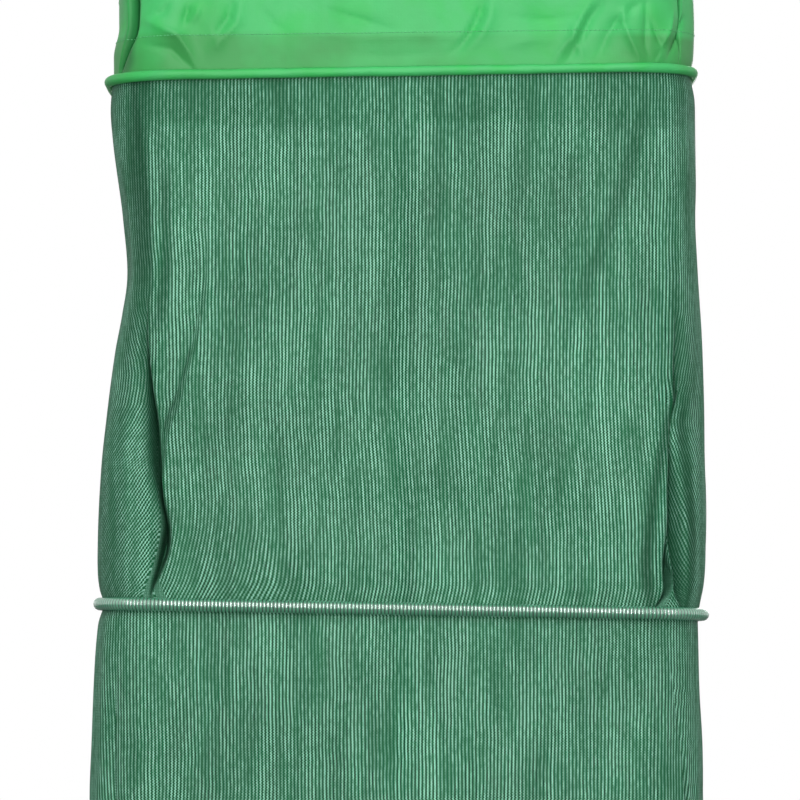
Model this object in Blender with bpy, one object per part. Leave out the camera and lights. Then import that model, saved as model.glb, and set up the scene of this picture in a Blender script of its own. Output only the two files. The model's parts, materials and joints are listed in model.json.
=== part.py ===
"""A rectangular keep net, hanging from the socket that screws onto a bankstick.

Metres, +Z up. The origin is the middle of the socket's lower face, where the bankstick's thread
goes in. The net hangs on the -Y side of it. Seen from -Y, the front of the net faces the viewer
and +X is to the right. The mouth frame carries a nylon collar, and below it hang a collar hoop,
three more hoops and the base hoop, with a sleeve of knitted mesh from each hoop to the next.
"""

import math

import bmesh
import bpy
from mathutils import Matrix, Vector

# Hoops and mouth frame, measured to the middle of their rods
MOUTH_WIDTH = 0.482
MOUTH_DEPTH = 0.385
HOOP_WIDTH = 0.495
HOOP_DEPTH = 0.395
CORNER_RADIUS = 0.055

# Heights of the hanging net, from rod to rod
COLLAR_HEIGHT = 0.25
SECTION_LENGTH = 0.4375

# Rods and what covers them
ROD_DIAMETER = 0.005
MOUTH_ROD_DIAMETER = 0.008
ROD_END_GAP = 0.001
FERRULE_WALL = 0.0007
FERRULE_LENGTH = 0.03
COVER_SLACK = 0.0006
COVER_WALL = 0.00215
RIB_DEPTH = 0.0008
RIB_PITCH = 0.011
SLEEVE_WALL = 0.001
SLEEVE_SEAM_GAP = 0.002
MOUTH_SLEEVE_WALL = 0.0012

# Cloth
CLOTH_THICKNESS = 0.0006
FOLD_DEPTH = 0.005
WAIST_DRAW = 0.004
BULGE = 0.008
SWAY = 0.004
PANEL_THICKNESS = 0.0008
PANEL_SAG = 0.012
BINDING_THICKNESS = 0.0009
BINDING_HEIGHT = 0.008

# Clamp that holds the two ends of the mouth frame's rod
FRAME_OFFSET = 0.034
CLAMP_WIDTH = 0.05
CLAMP_HEIGHT = 0.023
CLAMP_WALL = 0.005
CLAMP_CHAMFER = 0.002
SCREW_SHANK_DIAMETER = 0.003
SCREW_HEAD_DIAMETER = 0.0056
SCREW_HEAD_HEIGHT = 0.0022
SCREW_END_COVER = 0.0015
SCREW_EDGE = 0.006
SCREW_RISE = 0.0077
COLLAR_NOTCH_SLACK = 0.001

# Tilting joint between clamp and socket
PIVOT_HEIGHT = 0.038
PIVOT_BOLT_DIAMETER = 0.006
BOLT_HEAD_DIAMETER = 0.012
BOLT_HEAD_HEIGHT = 0.0035
BOLT_REACH_IN_KNOB = 0.0095
EYE_RADIUS = 0.009
EAR_THICKNESS = 0.006
EAR_ROOT = 0.002
TONGUE_WIDTH = 0.014
TONGUE_EYE_RADIUS = 0.0087
FRICTION_WASHER_THICKNESS = 0.001
FRICTION_WASHER_DIAMETER = 0.016
THRUST_WASHER_THICKNESS = 0.0012
THRUST_WASHER_DIAMETER = 0.015

# Socket and its threaded insert
BARREL_DIAMETER = 0.016
BARREL_TOP = 0.027
INSERT_DIAMETER = 0.012
INSERT_BORE = 0.0083
INSERT_LENGTH = 0.019
FLANGE_DIAMETER = 0.014
FLANGE_THICKNESS = 0.0015
BORE_HEADROOM = 0.001
TONGUE_SINK = 0.005

# Lock knob
KNOB_RADIUS = 0.014
KNOB_LOBE_DEPTH = 0.0018
KNOB_CAP = 0.0015
KNOB_CHAMFER = 0.0015
BOLT_HEADROOM = 0.001
NUT_ACROSS_CORNERS = 0.0115
NUT_THICKNESS = 0.005

# Shared values
CLEARANCE = 0.0003
CUT_OVERRUN = 0.001
SHARP_EDGE_DEGREES = 40

# Counts
CORNER_STEPS = 5
ROD_SIDES = 6
TUBE_SIDES = 8
ROUND_SIDES = 16
NUT_SIDES = 6
LONG_SIDE_PARTS = 7
SHORT_SIDE_PARTS = 5
FOLDS = 9
KNOB_LOBES = 5
KNOB_POINTS = 30

# Each hoop below the mouth: its name, how far it rolls to one side as it hangs, in degrees, and
# where the folds of the cloth below it start, as a share of a turn
HOOPS = (
    ("hoop_1", -0.9, 0.1),
    ("hoop_2", 1.0, 0.45),
    ("hoop_3", -0.4, 0.7),
    ("hoop_4", 0.3, 0.2),
    ("base_hoop", 0.0, 0.0),
)
RIBBED_HOOP = "hoop_2"

# Rows of a hanging sleeve, from its top edge to its bottom edge
ROW_SHARES = (0.0, 0.34, 0.8, 1.0)
WAIST_SHARES = (0.0, 1.0, 0.0, 0.0)
BULGE_SHARES = (0.0, 0.0, 1.0, 0.0)
FOLD_SHARES = (0.0, 0.9, 0.7, 0.0)
SWAY_SHARES = (0.0, 1.0, 0.2, 0.0)
PANEL_RING_SHARES = (1.0, 0.6, 0.25)

# Places that follow from the sizes above
ROD_RADIUS = ROD_DIAMETER / 2
MOUTH_ROD_RADIUS = MOUTH_ROD_DIAMETER / 2
FERRULE_BORE_RADIUS = ROD_RADIUS + CLEARANCE
FERRULE_RADIUS = FERRULE_BORE_RADIUS + FERRULE_WALL
COVER_BORE_RADIUS = ROD_RADIUS + COVER_SLACK
COVER_RADIUS = COVER_BORE_RADIUS + COVER_WALL
SLEEVE_BORE_RADIUS = FERRULE_RADIUS + CLEARANCE
SLEEVE_RADIUS = SLEEVE_BORE_RADIUS + SLEEVE_WALL
MOUTH_SLEEVE_BORE_RADIUS = MOUTH_ROD_RADIUS + CLEARANCE
MOUTH_SLEEVE_RADIUS = MOUTH_SLEEVE_BORE_RADIUS + MOUTH_SLEEVE_WALL
COVER_END = FERRULE_LENGTH / 2 + CLEARANCE
NET_Y = -FRAME_OFFSET - MOUTH_DEPTH / 2
CLAMP_HALF_DEPTH = MOUTH_ROD_RADIUS + CLAMP_WALL
CLAMP_SIDE = CLAMP_WIDTH / 2
CLAMP_TOP = CLAMP_HEIGHT / 2
PIVOT_HOLE_RADIUS = PIVOT_BOLT_DIAMETER / 2 + CLEARANCE
EAR_INNER = TONGUE_WIDTH / 2 + FRICTION_WASHER_THICKNESS + 2 * CLEARANCE
EAR_OUTER = EAR_INNER + EAR_THICKNESS
THRUST_WASHER_OUTER = EAR_OUTER + CLEARANCE + THRUST_WASHER_THICKNESS
KNOB_FACE = THRUST_WASHER_OUTER + CLEARANCE
KNOB_HOLE_DEPTH = BOLT_REACH_IN_KNOB + BOLT_HEADROOM
KNOB_THICKNESS = KNOB_HOLE_DEPTH + KNOB_CAP


def material(name, colour, roughness, metallic=0.0):
    """A plain finish for one sub-part."""
    made = bpy.data.materials.new(name)
    made.use_nodes = True
    made.diffuse_color = (*colour, 1.0)
    shader = made.node_tree.nodes["Principled BSDF"]
    shader.inputs["Base Color"].default_value = (*colour, 1.0)
    shader.inputs["Roughness"].default_value = roughness
    shader.inputs["Metallic"].default_value = metallic
    return made


def nylon(name):
    return material(name, (0.11, 0.58, 0.17), 0.55)


def mesh_cloth(name):
    return material(name, (0.03, 0.22, 0.12), 0.7)


def green_plastic(name):
    return material(name, (0.03, 0.22, 0.12), 0.3)


def black_plastic(name):
    return material(name, (0.02, 0.02, 0.022), 0.5)


def rubber(name):
    return material(name, (0.02, 0.02, 0.02), 0.8)


def alloy(name):
    return material(name, (0.62, 0.63, 0.64), 0.4, 1.0)


def steel(name):
    return material(name, (0.6, 0.6, 0.62), 0.3, 1.0)


def brass(name):
    return material(name, (0.75, 0.55, 0.22), 0.3, 1.0)


def empty(name, place):
    """A pivot or hanging point, which carries the pieces that move with it."""
    made = bpy.data.objects.new(name, None)
    made.location = place
    bpy.context.scene.collection.objects.link(made)
    return made


def mesh_object(name, shape, finish=None, parent=None, place=(0, 0, 0), turn=(0, 0, 0)):
    """Turns a bmesh into an object whose faces point outwards."""
    bmesh.ops.recalc_face_normals(shape, faces=shape.faces)
    data = bpy.data.meshes.new(name)
    shape.to_mesh(data)
    shape.free()
    data.shade_smooth()
    data.set_sharp_from_angle(angle=math.radians(SHARP_EDGE_DEGREES))
    made = bpy.data.objects.new(name, data)
    if finish:
        data.materials.append(finish(name + "_finish"))
    made.parent = parent
    made.location = place
    made.rotation_euler = turn
    bpy.context.scene.collection.objects.link(made)
    return made


def boolean(piece, tool, operation):
    """Joins or cuts piece with tool, which itself isn't part of the net."""
    tool.hide_render = True
    tool.display_type = "WIRE"
    change = piece.modifiers.new(tool.name, "BOOLEAN")
    change.operation = operation
    change.solver = "EXACT"
    change.object = tool


def circle(radius, sides):
    """Points of a round piece's outline, with its corners at that radius."""
    angles = [2 * math.pi * (side + 0.5) / sides for side in range(sides)]
    return [(radius * math.cos(angle), radius * math.sin(angle)) for angle in angles]


def round_hole(radius, sides):
    """Points of a hole's outline, with its flats at that radius, so that a round piece fits."""
    return circle(corner_of(radius, sides), sides)


def corner_of(radius, sides):
    """How far out the corners of a many-sided hole lie when its flats lie at that radius."""
    return radius / math.cos(math.pi / sides)


def add_prism(shape, outline, low, high, axis="Z"):
    """Adds the solid between two copies of a closed outline, square to an axis."""
    placed = {
        "X": lambda a, b, along: (along, a, b),
        "Y": lambda a, b, along: (a, along, b),
        "Z": lambda a, b, along: (a, b, along),
    }[axis]
    ends = [[shape.verts.new(placed(a, b, along)) for a, b in outline] for along in (low, high)]
    shape.faces.new(ends[0])
    shape.faces.new(ends[1][::-1])
    join_rings(shape, *ends)


def prism(outline, low, high, axis="Z"):
    shape = bmesh.new()
    add_prism(shape, outline, low, high, axis)
    return shape


def join_rings(shape, ring, other):
    """Faces between two rings of as many points."""
    for here in range(len(ring)):
        after = (here + 1) % len(ring)
        shape.faces.new((ring[here], ring[after], other[after], other[here]))


def turned(profile, sides=ROUND_SIDES):
    """A solid turned about Z from (radius, height) points. A profile that starts and ends at no
    radius is solid, and any other closes on itself into a ring."""
    shape = bmesh.new()
    solid = profile[0][0] == 0
    rings = []
    for radius, height in profile[1:-1] if solid else profile:
        rings.append([shape.verts.new((x, y, height)) for x, y in circle(radius, sides)])
    for ring, other in zip(rings, rings[1:]):
        join_rings(shape, ring, other)
    if solid:
        for ring in (rings[0], rings[-1]):
            shape.faces.new(ring)
    else:
        join_rings(shape, rings[-1], rings[0])
    return shape


def washer(outer, bore, low, high, sides=ROUND_SIDES):
    """A flat ring about Z."""
    inner = corner_of(bore, sides)
    return turned(((outer, low), (outer, high), (inner, high), (inner, low)), sides)


def hoop_pieces(width, depth, radius, end):
    """The straights and arcs of an open hoop, from its rear middle round to the rear middle. Each
    is a start point, a length, and the direction that it faces at its start and at its end."""
    x, y = width / 2 - radius, depth / 2 - radius
    arc = math.pi / 2 * radius
    return (
        (Vector((end, depth / 2)), x - end, 90, 90),
        (Vector((x, y)), arc, 90, 0),
        (Vector((width / 2, y)), 2 * y, 0, 0),
        (Vector((x, -y)), arc, 0, -90),
        (Vector((x, -depth / 2)), 2 * x, -90, -90),
        (Vector((-x, -y)), arc, -90, -180),
        (Vector((-width / 2, -y)), 2 * y, 180, 180),
        (Vector((-x, y)), arc, 180, 90),
        (Vector((-x, depth / 2)), x - end, 90, 90),
    )


def station(piece, radius, share):
    """A point on one piece of a hoop and the outward direction there."""
    start, length, faces_first, faces_last = piece
    angle = math.radians(faces_first + (faces_last - faces_first) * share)
    outward = Vector((math.cos(angle), math.sin(angle)))
    if faces_first != faces_last:
        return start + outward * radius, outward
    along = Vector((outward.y, -outward.x))
    return start + along * length * share, outward


def corner_path(width, depth, radius, end):
    """Stations of an open hoop, only as many as its straights and corners need."""
    pieces = hoop_pieces(width, depth, radius, end)
    path = [station(pieces[0], radius, 0)]
    for piece in pieces[1::2]:
        path += [station(piece, radius, step / CORNER_STEPS) for step in range(CORNER_STEPS + 1)]
    return path + [station(pieces[-1], radius, 1)]


def even_path(width, depth, radius, end, spacing):
    """Stations of an open hoop at an even spacing, an odd number of them."""
    pieces = hoop_pieces(width, depth, radius, end)
    total = sum(piece[1] for piece in pieces)
    count = 2 * max(1, round(total / spacing / 2))
    path = []
    for number in range(count + 1):
        rest = total * number / count
        for piece in pieces:
            if rest <= piece[1] or piece is pieces[-1]:
                break
            rest -= piece[1]
        path.append(station(piece, radius, min(1.0, rest / piece[1])))
    return path


def closed_outline(width, depth, radius, inset):
    """Points and outward directions round the inside of a hoop, with spare points on its straight
    sides, starting at the rear right corner."""
    pieces = hoop_pieces(width, depth, radius, 0)[1:-1]
    rear = (Vector((radius - width / 2, depth / 2)), width - 2 * radius, 90, 90)
    found = []
    for piece in (*pieces, rear):
        faces_first, faces_last = piece[2:]
        if faces_first != faces_last:
            shares = [step / CORNER_STEPS for step in range(CORNER_STEPS + 1)]
        else:
            parts = LONG_SIDE_PARTS if abs(faces_first) == 90 else SHORT_SIDE_PARTS
            shares = [step / parts for step in range(1, parts)]
        found += [station(piece, radius, share) for share in shares]
    return [(point - outward * inset, outward) for point, outward in found]


def tube_rings(shape, path, radii, sides):
    """A ring of points round each station of a path. The radii are taken in turn."""
    rings = []
    for number, (point, outward) in enumerate(path):
        ring = []
        for across, up in circle(radii[number % len(radii)], sides):
            flat = point + outward * across
            ring.append(shape.verts.new((flat.x, flat.y, up)))
        rings.append(ring)
    for ring, other in zip(rings, rings[1:]):
        join_rings(shape, ring, other)
    return rings


def solid_tube(path, radius, sides):
    shape = bmesh.new()
    rings = tube_rings(shape, path, (radius,), sides)
    shape.faces.new(rings[0])
    shape.faces.new(rings[-1])
    return shape


def hollow_tube(path, radii, bore_path, bore_radius):
    """A tube with a bore that is open at both ends."""
    shape = bmesh.new()
    outside = tube_rings(shape, path, radii, TUBE_SIDES)
    inside = tube_rings(shape, bore_path, (corner_of(bore_radius, TUBE_SIDES),), TUBE_SIDES)
    join_rings(shape, outside[0], inside[0])
    join_rings(shape, outside[-1], inside[-1])
    return shape


def shell(outside, inside):
    """A thin cloth tube from the rows of its outer and its inner face."""
    shape = bmesh.new()
    skins = [[[shape.verts.new(p) for p in row] for row in rows] for rows in (outside, inside)]
    for rows in skins:
        for row, lower in zip(rows, rows[1:]):
            join_rings(shape, row, lower)
    for end in (0, -1):
        join_rings(shape, skins[0][end], skins[1][end])
    return shape


def rolled(point, height, roll, level):
    """A point of a hoop's own plane, once the hoop has rolled and hangs at its level."""
    angle = math.radians(roll)
    x = point.x * math.cos(angle) + height * math.sin(angle)
    z = height * math.cos(angle) - point.x * math.sin(angle)
    return Vector((x, point.y, z + level))


def cloth_rows(upper, lower, start, depth_in_cloth):
    """Rows of points of one face of a hanging sleeve. upper and lower give the hoops that it
    hangs between: width, depth, tube radius, roll, and level in the sleeve's own frame."""
    edges = []
    for (width, depth, tube, roll, level), side in ((upper, -1), (lower, 1)):
        outline = closed_outline(width, depth, CORNER_RADIUS, tube + CLEARANCE + depth_in_cloth)
        points = [rolled(point, side * CLEARANCE, roll, level) for point, outward in outline]
        edges.append(points)
    directions = [outward.to_3d() for point, outward in outline]
    rows = []
    for number, share in enumerate(ROW_SHARES):
        row = []
        for column, (top, bottom) in enumerate(zip(*edges)):
            turn = 2 * math.pi * (FOLDS * column / len(directions) + start)
            push = FOLD_DEPTH * FOLD_SHARES[number] * math.sin(turn)
            push += BULGE * BULGE_SHARES[number] - WAIST_DRAW * WAIST_SHARES[number]
            sway = Vector((SWAY * SWAY_SHARES[number], 0, 0))
            row.append(top.lerp(bottom, share) + directions[column] * push + sway)
        rows.append(row)
    return rows


def hanging_cloth(name, finish, parent, upper, lower, start):
    """A sleeve of cloth with its waist, its slack above the lower hoop and its main folds."""
    faces = [cloth_rows(upper, lower, start, depth) for depth in (0, CLOTH_THICKNESS)]
    return mesh_object(name, shell(*faces), finish, parent)


def build_mouth(mouth):
    """The rod of the mouth frame, its two ends held in the clamp, and the nylon hem round it."""
    path = corner_path(MOUTH_WIDTH, MOUTH_DEPTH, CORNER_RADIUS, ROD_END_GAP / 2)
    rod = solid_tube(path, MOUTH_ROD_RADIUS, TUBE_SIDES)
    mesh_object("mouth_frame", rod, alloy, mouth)
    path = corner_path(MOUTH_WIDTH, MOUTH_DEPTH, CORNER_RADIUS, CLAMP_SIDE + CLEARANCE)
    hem = hollow_tube(path, (MOUTH_SLEEVE_RADIUS,), path, MOUTH_SLEEVE_BORE_RADIUS)
    mesh_object("mouth_sleeve", hem, nylon, mouth)


def clamp_outline(near, far):
    """A clamp half seen along X: square at the parting face, with its far corners taken off."""
    cut = math.copysign(CLAMP_CHAMFER, far - near)
    return (
        (near, -CLAMP_TOP),
        (far - cut, -CLAMP_TOP),
        (far, -CLAMP_TOP + CLAMP_CHAMFER),
        (far, CLAMP_TOP - CLAMP_CHAMFER),
        (far - cut, CLAMP_TOP),
        (near, CLAMP_TOP),
    )


def eye_outline(radius, root):
    """A plate with a round end about the pivot, seen along X, that runs back to root."""
    half = ROUND_SIDES // 2
    angles = [math.pi * (0.5 - step / half) for step in range(half + 1)]
    round_end = [(radius * math.cos(angle), radius * math.sin(angle)) for angle in angles]
    return ((root, radius), *round_end, (root, -radius))


def screw_places():
    across = CLAMP_SIDE - SCREW_EDGE
    return [(x, z) for x in (-across, across) for z in (-SCREW_RISE, SCREW_RISE)]


def clamp_cutters(clamp):
    """The channel for the rod and the four screw holes, which both halves of the clamp share."""
    outline = round_hole(MOUTH_ROD_RADIUS + CLEARANCE, ROUND_SIDES)
    reach = CLAMP_SIDE + CUT_OVERRUN
    channel = mesh_object("cut_rod_channel", prism(outline, -reach, reach, "X"), None, clamp)
    shape = bmesh.new()
    far = CLAMP_HALF_DEPTH + CUT_OVERRUN
    for x, z in screw_places():
        hole = round_hole(SCREW_SHANK_DIAMETER / 2 + CLEARANCE, ROUND_SIDES // 2)
        outline = [(x + a, z + b) for a, b in hole]
        add_prism(shape, outline, -far, far, "Y")
    return channel, mesh_object("cut_screw_holes", shape, None, clamp)


def build_clamp(clamp):
    """The clamp's two halves, about the middle of the rod that they hold. The outer half carries
    the two ears of the pivot."""
    cutters = clamp_cutters(clamp)
    outline = clamp_outline(CLEARANCE, CLAMP_HALF_DEPTH)
    body_shape = prism(outline, -CLAMP_SIDE, CLAMP_SIDE, "X")
    body = mesh_object("clamp_body", body_shape, black_plastic, clamp)
    outline = clamp_outline(-CLEARANCE, -CLAMP_HALF_DEPTH)
    cap_shape = prism(outline, -CLAMP_SIDE, CLAMP_SIDE, "X")
    cap = mesh_object("clamp_cap", cap_shape, black_plastic, clamp)

    root = CLAMP_HALF_DEPTH - EAR_ROOT - FRAME_OFFSET
    eye = [(FRAME_OFFSET + y, z) for y, z in eye_outline(EYE_RADIUS, root)]
    for side, low in (("left", -EAR_OUTER), ("right", EAR_INNER)):
        ear = prism(eye, low, low + EAR_THICKNESS, "X")
        boolean(body, mesh_object(f"join_{side}_ear", ear, None, clamp), "UNION")
    outline = [(FRAME_OFFSET + y, z) for y, z in round_hole(PIVOT_HOLE_RADIUS, ROUND_SIDES)]
    reach = EAR_OUTER + CUT_OVERRUN
    hole = prism(outline, -reach, reach, "X")
    boolean(body, mesh_object("cut_pivot_hole", hole, None, clamp), "DIFFERENCE")
    for cutter in cutters:
        boolean(body, cutter, "DIFFERENCE")
        boolean(cap, cutter, "DIFFERENCE")
    build_clamp_screws(clamp)


def build_clamp_screws(clamp):
    """Four screws, with their heads on the inner half and their ends in the outer one."""
    seat = -CLAMP_HALF_DEPTH - CLEARANCE
    length = 2 * CLAMP_HALF_DEPTH + CLEARANCE - SCREW_END_COVER
    shank, head = SCREW_SHANK_DIAMETER / 2, SCREW_HEAD_DIAMETER / 2
    profile = (
        (0, -SCREW_HEAD_HEIGHT),
        (shank, -SCREW_HEAD_HEIGHT),
        (head, -SCREW_HEAD_HEIGHT / 2),
        (head, 0),
        (shank, 0),
        (shank, length),
        (0, length),
    )
    for number, (x, z) in enumerate(screw_places(), 1):
        shape = turned(profile, ROUND_SIDES // 2)
        name = f"clamp_screw_{number}"
        mesh_object(name, shape, steel, clamp, (x, seat, z), (-math.pi / 2, 0, 0))


def build_pivot(pivot):
    """The bolt through both ears, and the rubber washers either side of the socket's tongue."""
    along_x = (0, math.pi / 2, 0)
    shank, head = PIVOT_BOLT_DIAMETER / 2, BOLT_HEAD_DIAMETER / 2
    seat = -EAR_OUTER - CLEARANCE
    profile = (
        (0, seat - BOLT_HEAD_HEIGHT),
        (shank, seat - BOLT_HEAD_HEIGHT),
        (head, seat - BOLT_HEAD_HEIGHT / 2),
        (head, seat),
        (shank, seat),
        (shank, KNOB_FACE + BOLT_REACH_IN_KNOB),
        (0, KNOB_FACE + BOLT_REACH_IN_KNOB),
    )
    mesh_object("pivot_bolt", turned(profile), steel, pivot, turn=along_x)
    near = TONGUE_WIDTH / 2 + CLEARANCE
    far = near + FRICTION_WASHER_THICKNESS
    for side, low, high in (("left", -far, -near), ("right", near, far)):
        ring = washer(FRICTION_WASHER_DIAMETER / 2, PIVOT_HOLE_RADIUS, low, high)
        mesh_object(f"friction_washer_{side}", ring, rubber, pivot, turn=along_x)
    low, high = EAR_OUTER + CLEARANCE, THRUST_WASHER_OUTER
    ring = washer(THRUST_WASHER_DIAMETER / 2, PIVOT_HOLE_RADIUS, low, high)
    mesh_object("thrust_washer", ring, steel, pivot, turn=along_x)


def build_socket(pivot):
    """The socket that screws onto the bankstick: a barrel under a tongue that tilts on the bolt."""
    down = -PIVOT_HEIGHT
    foot = down + FLANGE_THICKNESS + CLEARANCE
    top = down + BARREL_TOP
    barrel = prism(circle(BARREL_DIAMETER / 2, ROUND_SIDES), foot, top)
    socket = mesh_object("bankstick_socket", barrel, black_plastic, pivot)
    outline = [(z, y) for y, z in eye_outline(TONGUE_EYE_RADIUS, top - TONGUE_SINK)]
    half = TONGUE_WIDTH / 2
    tongue = mesh_object("join_tongue", prism(outline, -half, half, "X"), None, pivot)
    boolean(socket, tongue, "UNION")
    ceiling = down + INSERT_LENGTH + BORE_HEADROOM
    bore = round_hole(INSERT_DIAMETER / 2 + CLEARANCE, ROUND_SIDES)
    bore_cutter = prism(bore, foot - CUT_OVERRUN, ceiling)
    boolean(socket, mesh_object("cut_insert_bore", bore_cutter, None, pivot), "DIFFERENCE")
    reach = half + CUT_OVERRUN
    hole = prism(round_hole(PIVOT_HOLE_RADIUS, ROUND_SIDES), -reach, reach, "X")
    boolean(socket, mesh_object("cut_tongue_hole", hole, None, pivot), "DIFFERENCE")

    flange, body = FLANGE_DIAMETER / 2, INSERT_DIAMETER / 2
    inner = corner_of(INSERT_BORE / 2, ROUND_SIDES)
    profile = (
        (flange, down),
        (flange, down + FLANGE_THICKNESS),
        (body, down + FLANGE_THICKNESS),
        (body, down + INSERT_LENGTH),
        (inner, down + INSERT_LENGTH),
        (inner, down),
    )
    mesh_object("thread_insert", turned(profile), brass, pivot)


def knob_outline(share):
    """The lobed edge of the knob, drawn in to a share of its size."""
    points = []
    for step in range(KNOB_POINTS):
        angle = 2 * math.pi * step / KNOB_POINTS
        radius = share * (KNOB_RADIUS + KNOB_LOBE_DEPTH * math.cos(KNOB_LOBES * angle))
        points.append((radius * math.cos(angle), radius * math.sin(angle)))
    return points


def build_knob(pivot):
    """The lobed knob that locks the tilt, and the brass nut set into it."""
    along_x = (0, math.pi / 2, 0)
    shape = bmesh.new()
    drawn_in = 1 - KNOB_CHAMFER / KNOB_RADIUS
    top = KNOB_FACE + KNOB_THICKNESS
    levels = (
        (KNOB_FACE, drawn_in),
        (KNOB_FACE + KNOB_CHAMFER, 1),
        (top - KNOB_CHAMFER, 1),
        (top, drawn_in),
    )
    rings = [[shape.verts.new((x, y, z)) for x, y in knob_outline(s)] for z, s in levels]
    for ring, other in zip(rings, rings[1:]):
        join_rings(shape, ring, other)
    shape.faces.new(rings[0])
    shape.faces.new(rings[-1])
    knob = mesh_object("lock_knob", shape, black_plastic, pivot, turn=along_x)

    low = KNOB_FACE - CUT_OVERRUN
    hole = prism(round_hole(PIVOT_HOLE_RADIUS, ROUND_SIDES), low, KNOB_FACE + KNOB_HOLE_DEPTH)
    cutter = mesh_object("cut_knob_hole", hole, None, pivot, turn=along_x)
    boolean(knob, cutter, "DIFFERENCE")
    flats = NUT_ACROSS_CORNERS / 2 * math.cos(math.pi / NUT_SIDES)
    outline = round_hole(flats + CLEARANCE, NUT_SIDES)
    pocket = prism(outline, low, KNOB_FACE + NUT_THICKNESS + CLEARANCE)
    cutter = mesh_object("cut_nut_pocket", pocket, None, pivot, turn=along_x)
    boolean(knob, cutter, "DIFFERENCE")

    outline = circle(NUT_ACROSS_CORNERS / 2, NUT_SIDES)
    nut = prism(outline, KNOB_FACE, KNOB_FACE + NUT_THICKNESS)
    nut_piece = mesh_object("knob_nut", nut, brass, pivot, turn=along_x)
    high = KNOB_FACE + NUT_THICKNESS + CUT_OVERRUN
    hole = prism(round_hole(PIVOT_HOLE_RADIUS, ROUND_SIDES), low, high)
    cutter = mesh_object("cut_nut_hole", hole, None, pivot, turn=along_x)
    boolean(nut_piece, cutter, "DIFFERENCE")


def build_hoop(name, roll, width, depth, parent):
    """A hoop's rod, the ferrule that joins its ends at the rear middle, and what covers it."""
    turn = (0, math.radians(roll), 0)
    path = corner_path(width, depth, CORNER_RADIUS, ROD_END_GAP / 2)
    mesh_object(f"{name}_rod", solid_tube(path, ROD_RADIUS, ROD_SIDES), alloy, parent, turn=turn)
    half = FERRULE_LENGTH / 2
    ferrule = washer(FERRULE_RADIUS, FERRULE_BORE_RADIUS, -half, half, TUBE_SIDES)
    along_x = Matrix.Rotation(math.pi / 2, 4, "Y")
    bmesh.ops.transform(ferrule, verts=ferrule.verts, matrix=along_x)
    bmesh.ops.translate(ferrule, verts=ferrule.verts, vec=(0, depth / 2, 0))
    mesh_object(f"{name}_ferrule", ferrule, steel, parent, turn=turn)
    if name == HOOPS[0][0]:
        path = corner_path(width, depth, CORNER_RADIUS, SLEEVE_SEAM_GAP / 2)
        sleeve = hollow_tube(path, (SLEEVE_RADIUS,), path, SLEEVE_BORE_RADIUS)
        mesh_object(f"{name}_sleeve", sleeve, nylon, parent, turn=turn)
        return
    bore_path = corner_path(width, depth, CORNER_RADIUS, COVER_END)
    path, radii = bore_path, (COVER_RADIUS,)
    if name == RIBBED_HOOP:
        path = even_path(width, depth, CORNER_RADIUS, COVER_END, RIB_PITCH / 2)
        radii = (COVER_RADIUS - RIB_DEPTH, COVER_RADIUS)
    cover = hollow_tube(path, radii, bore_path, COVER_BORE_RADIUS)
    mesh_object(f"{name}_cover", cover, green_plastic, parent, turn=turn)


def build_collar(mouth, lower):
    """The nylon collar from the mouth frame to the first hoop, notched round the clamp."""
    upper = (MOUTH_WIDTH, MOUTH_DEPTH, MOUTH_SLEEVE_RADIUS, 0, 0)
    collar = hanging_cloth("collar", nylon, mouth, upper, lower, 0)
    side = CLAMP_SIDE + COLLAR_NOTCH_SLACK
    low = CLAMP_TOP + COLLAR_NOTCH_SLACK
    near, far = MOUTH_DEPTH / 2 - 2 * CLAMP_HALF_DEPTH, MOUTH_DEPTH / 2
    outline = ((-side, near), (side, near), (side, far), (-side, far))
    notch = prism(outline, -low, CLAMP_TOP)
    boolean(collar, mesh_object("cut_collar_notch", notch, None, mouth), "DIFFERENCE")


def build_base(base, roll):
    """The mesh panel that closes the net, and the tape that binds it to the last sleeve."""
    shape = bmesh.new()
    edge = COVER_RADIUS + CLEARANCE
    outline = closed_outline(HOOP_WIDTH, HOOP_DEPTH, CORNER_RADIUS, edge)
    skins = []
    for drop in (CLEARANCE, CLEARANCE + PANEL_THICKNESS):
        rings = []
        for share in PANEL_RING_SHARES:
            height = -drop - PANEL_SAG * (1 - share * share)
            places = [rolled(point * share, height, roll, 0) for point, outward in outline]
            rings.append([shape.verts.new(place) for place in places])
        for ring, other in zip(rings, rings[1:]):
            join_rings(shape, ring, other)
        middle = shape.verts.new((0, 0, -drop - PANEL_SAG))
        for vertex, after in zip(rings[-1], rings[-1][1:] + rings[-1][:1]):
            shape.faces.new((vertex, after, middle))
        skins.append(rings)
    join_rings(shape, skins[0][0], skins[1][0])
    mesh_object("base_panel", shape, mesh_cloth, base)

    faces = []
    for inset in (0, BINDING_THICKNESS):
        edge = COVER_RADIUS + 2 * CLEARANCE + CLOTH_THICKNESS + inset
        outline = closed_outline(HOOP_WIDTH, HOOP_DEPTH, CORNER_RADIUS, edge)
        rows = []
        for height in (BINDING_HEIGHT, CLEARANCE):
            rows.append([rolled(point, height, roll, 0) for point, outward in outline])
        faces.append(rows)
    mesh_object("base_binding", shell(*faces), nylon, base)


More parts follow.
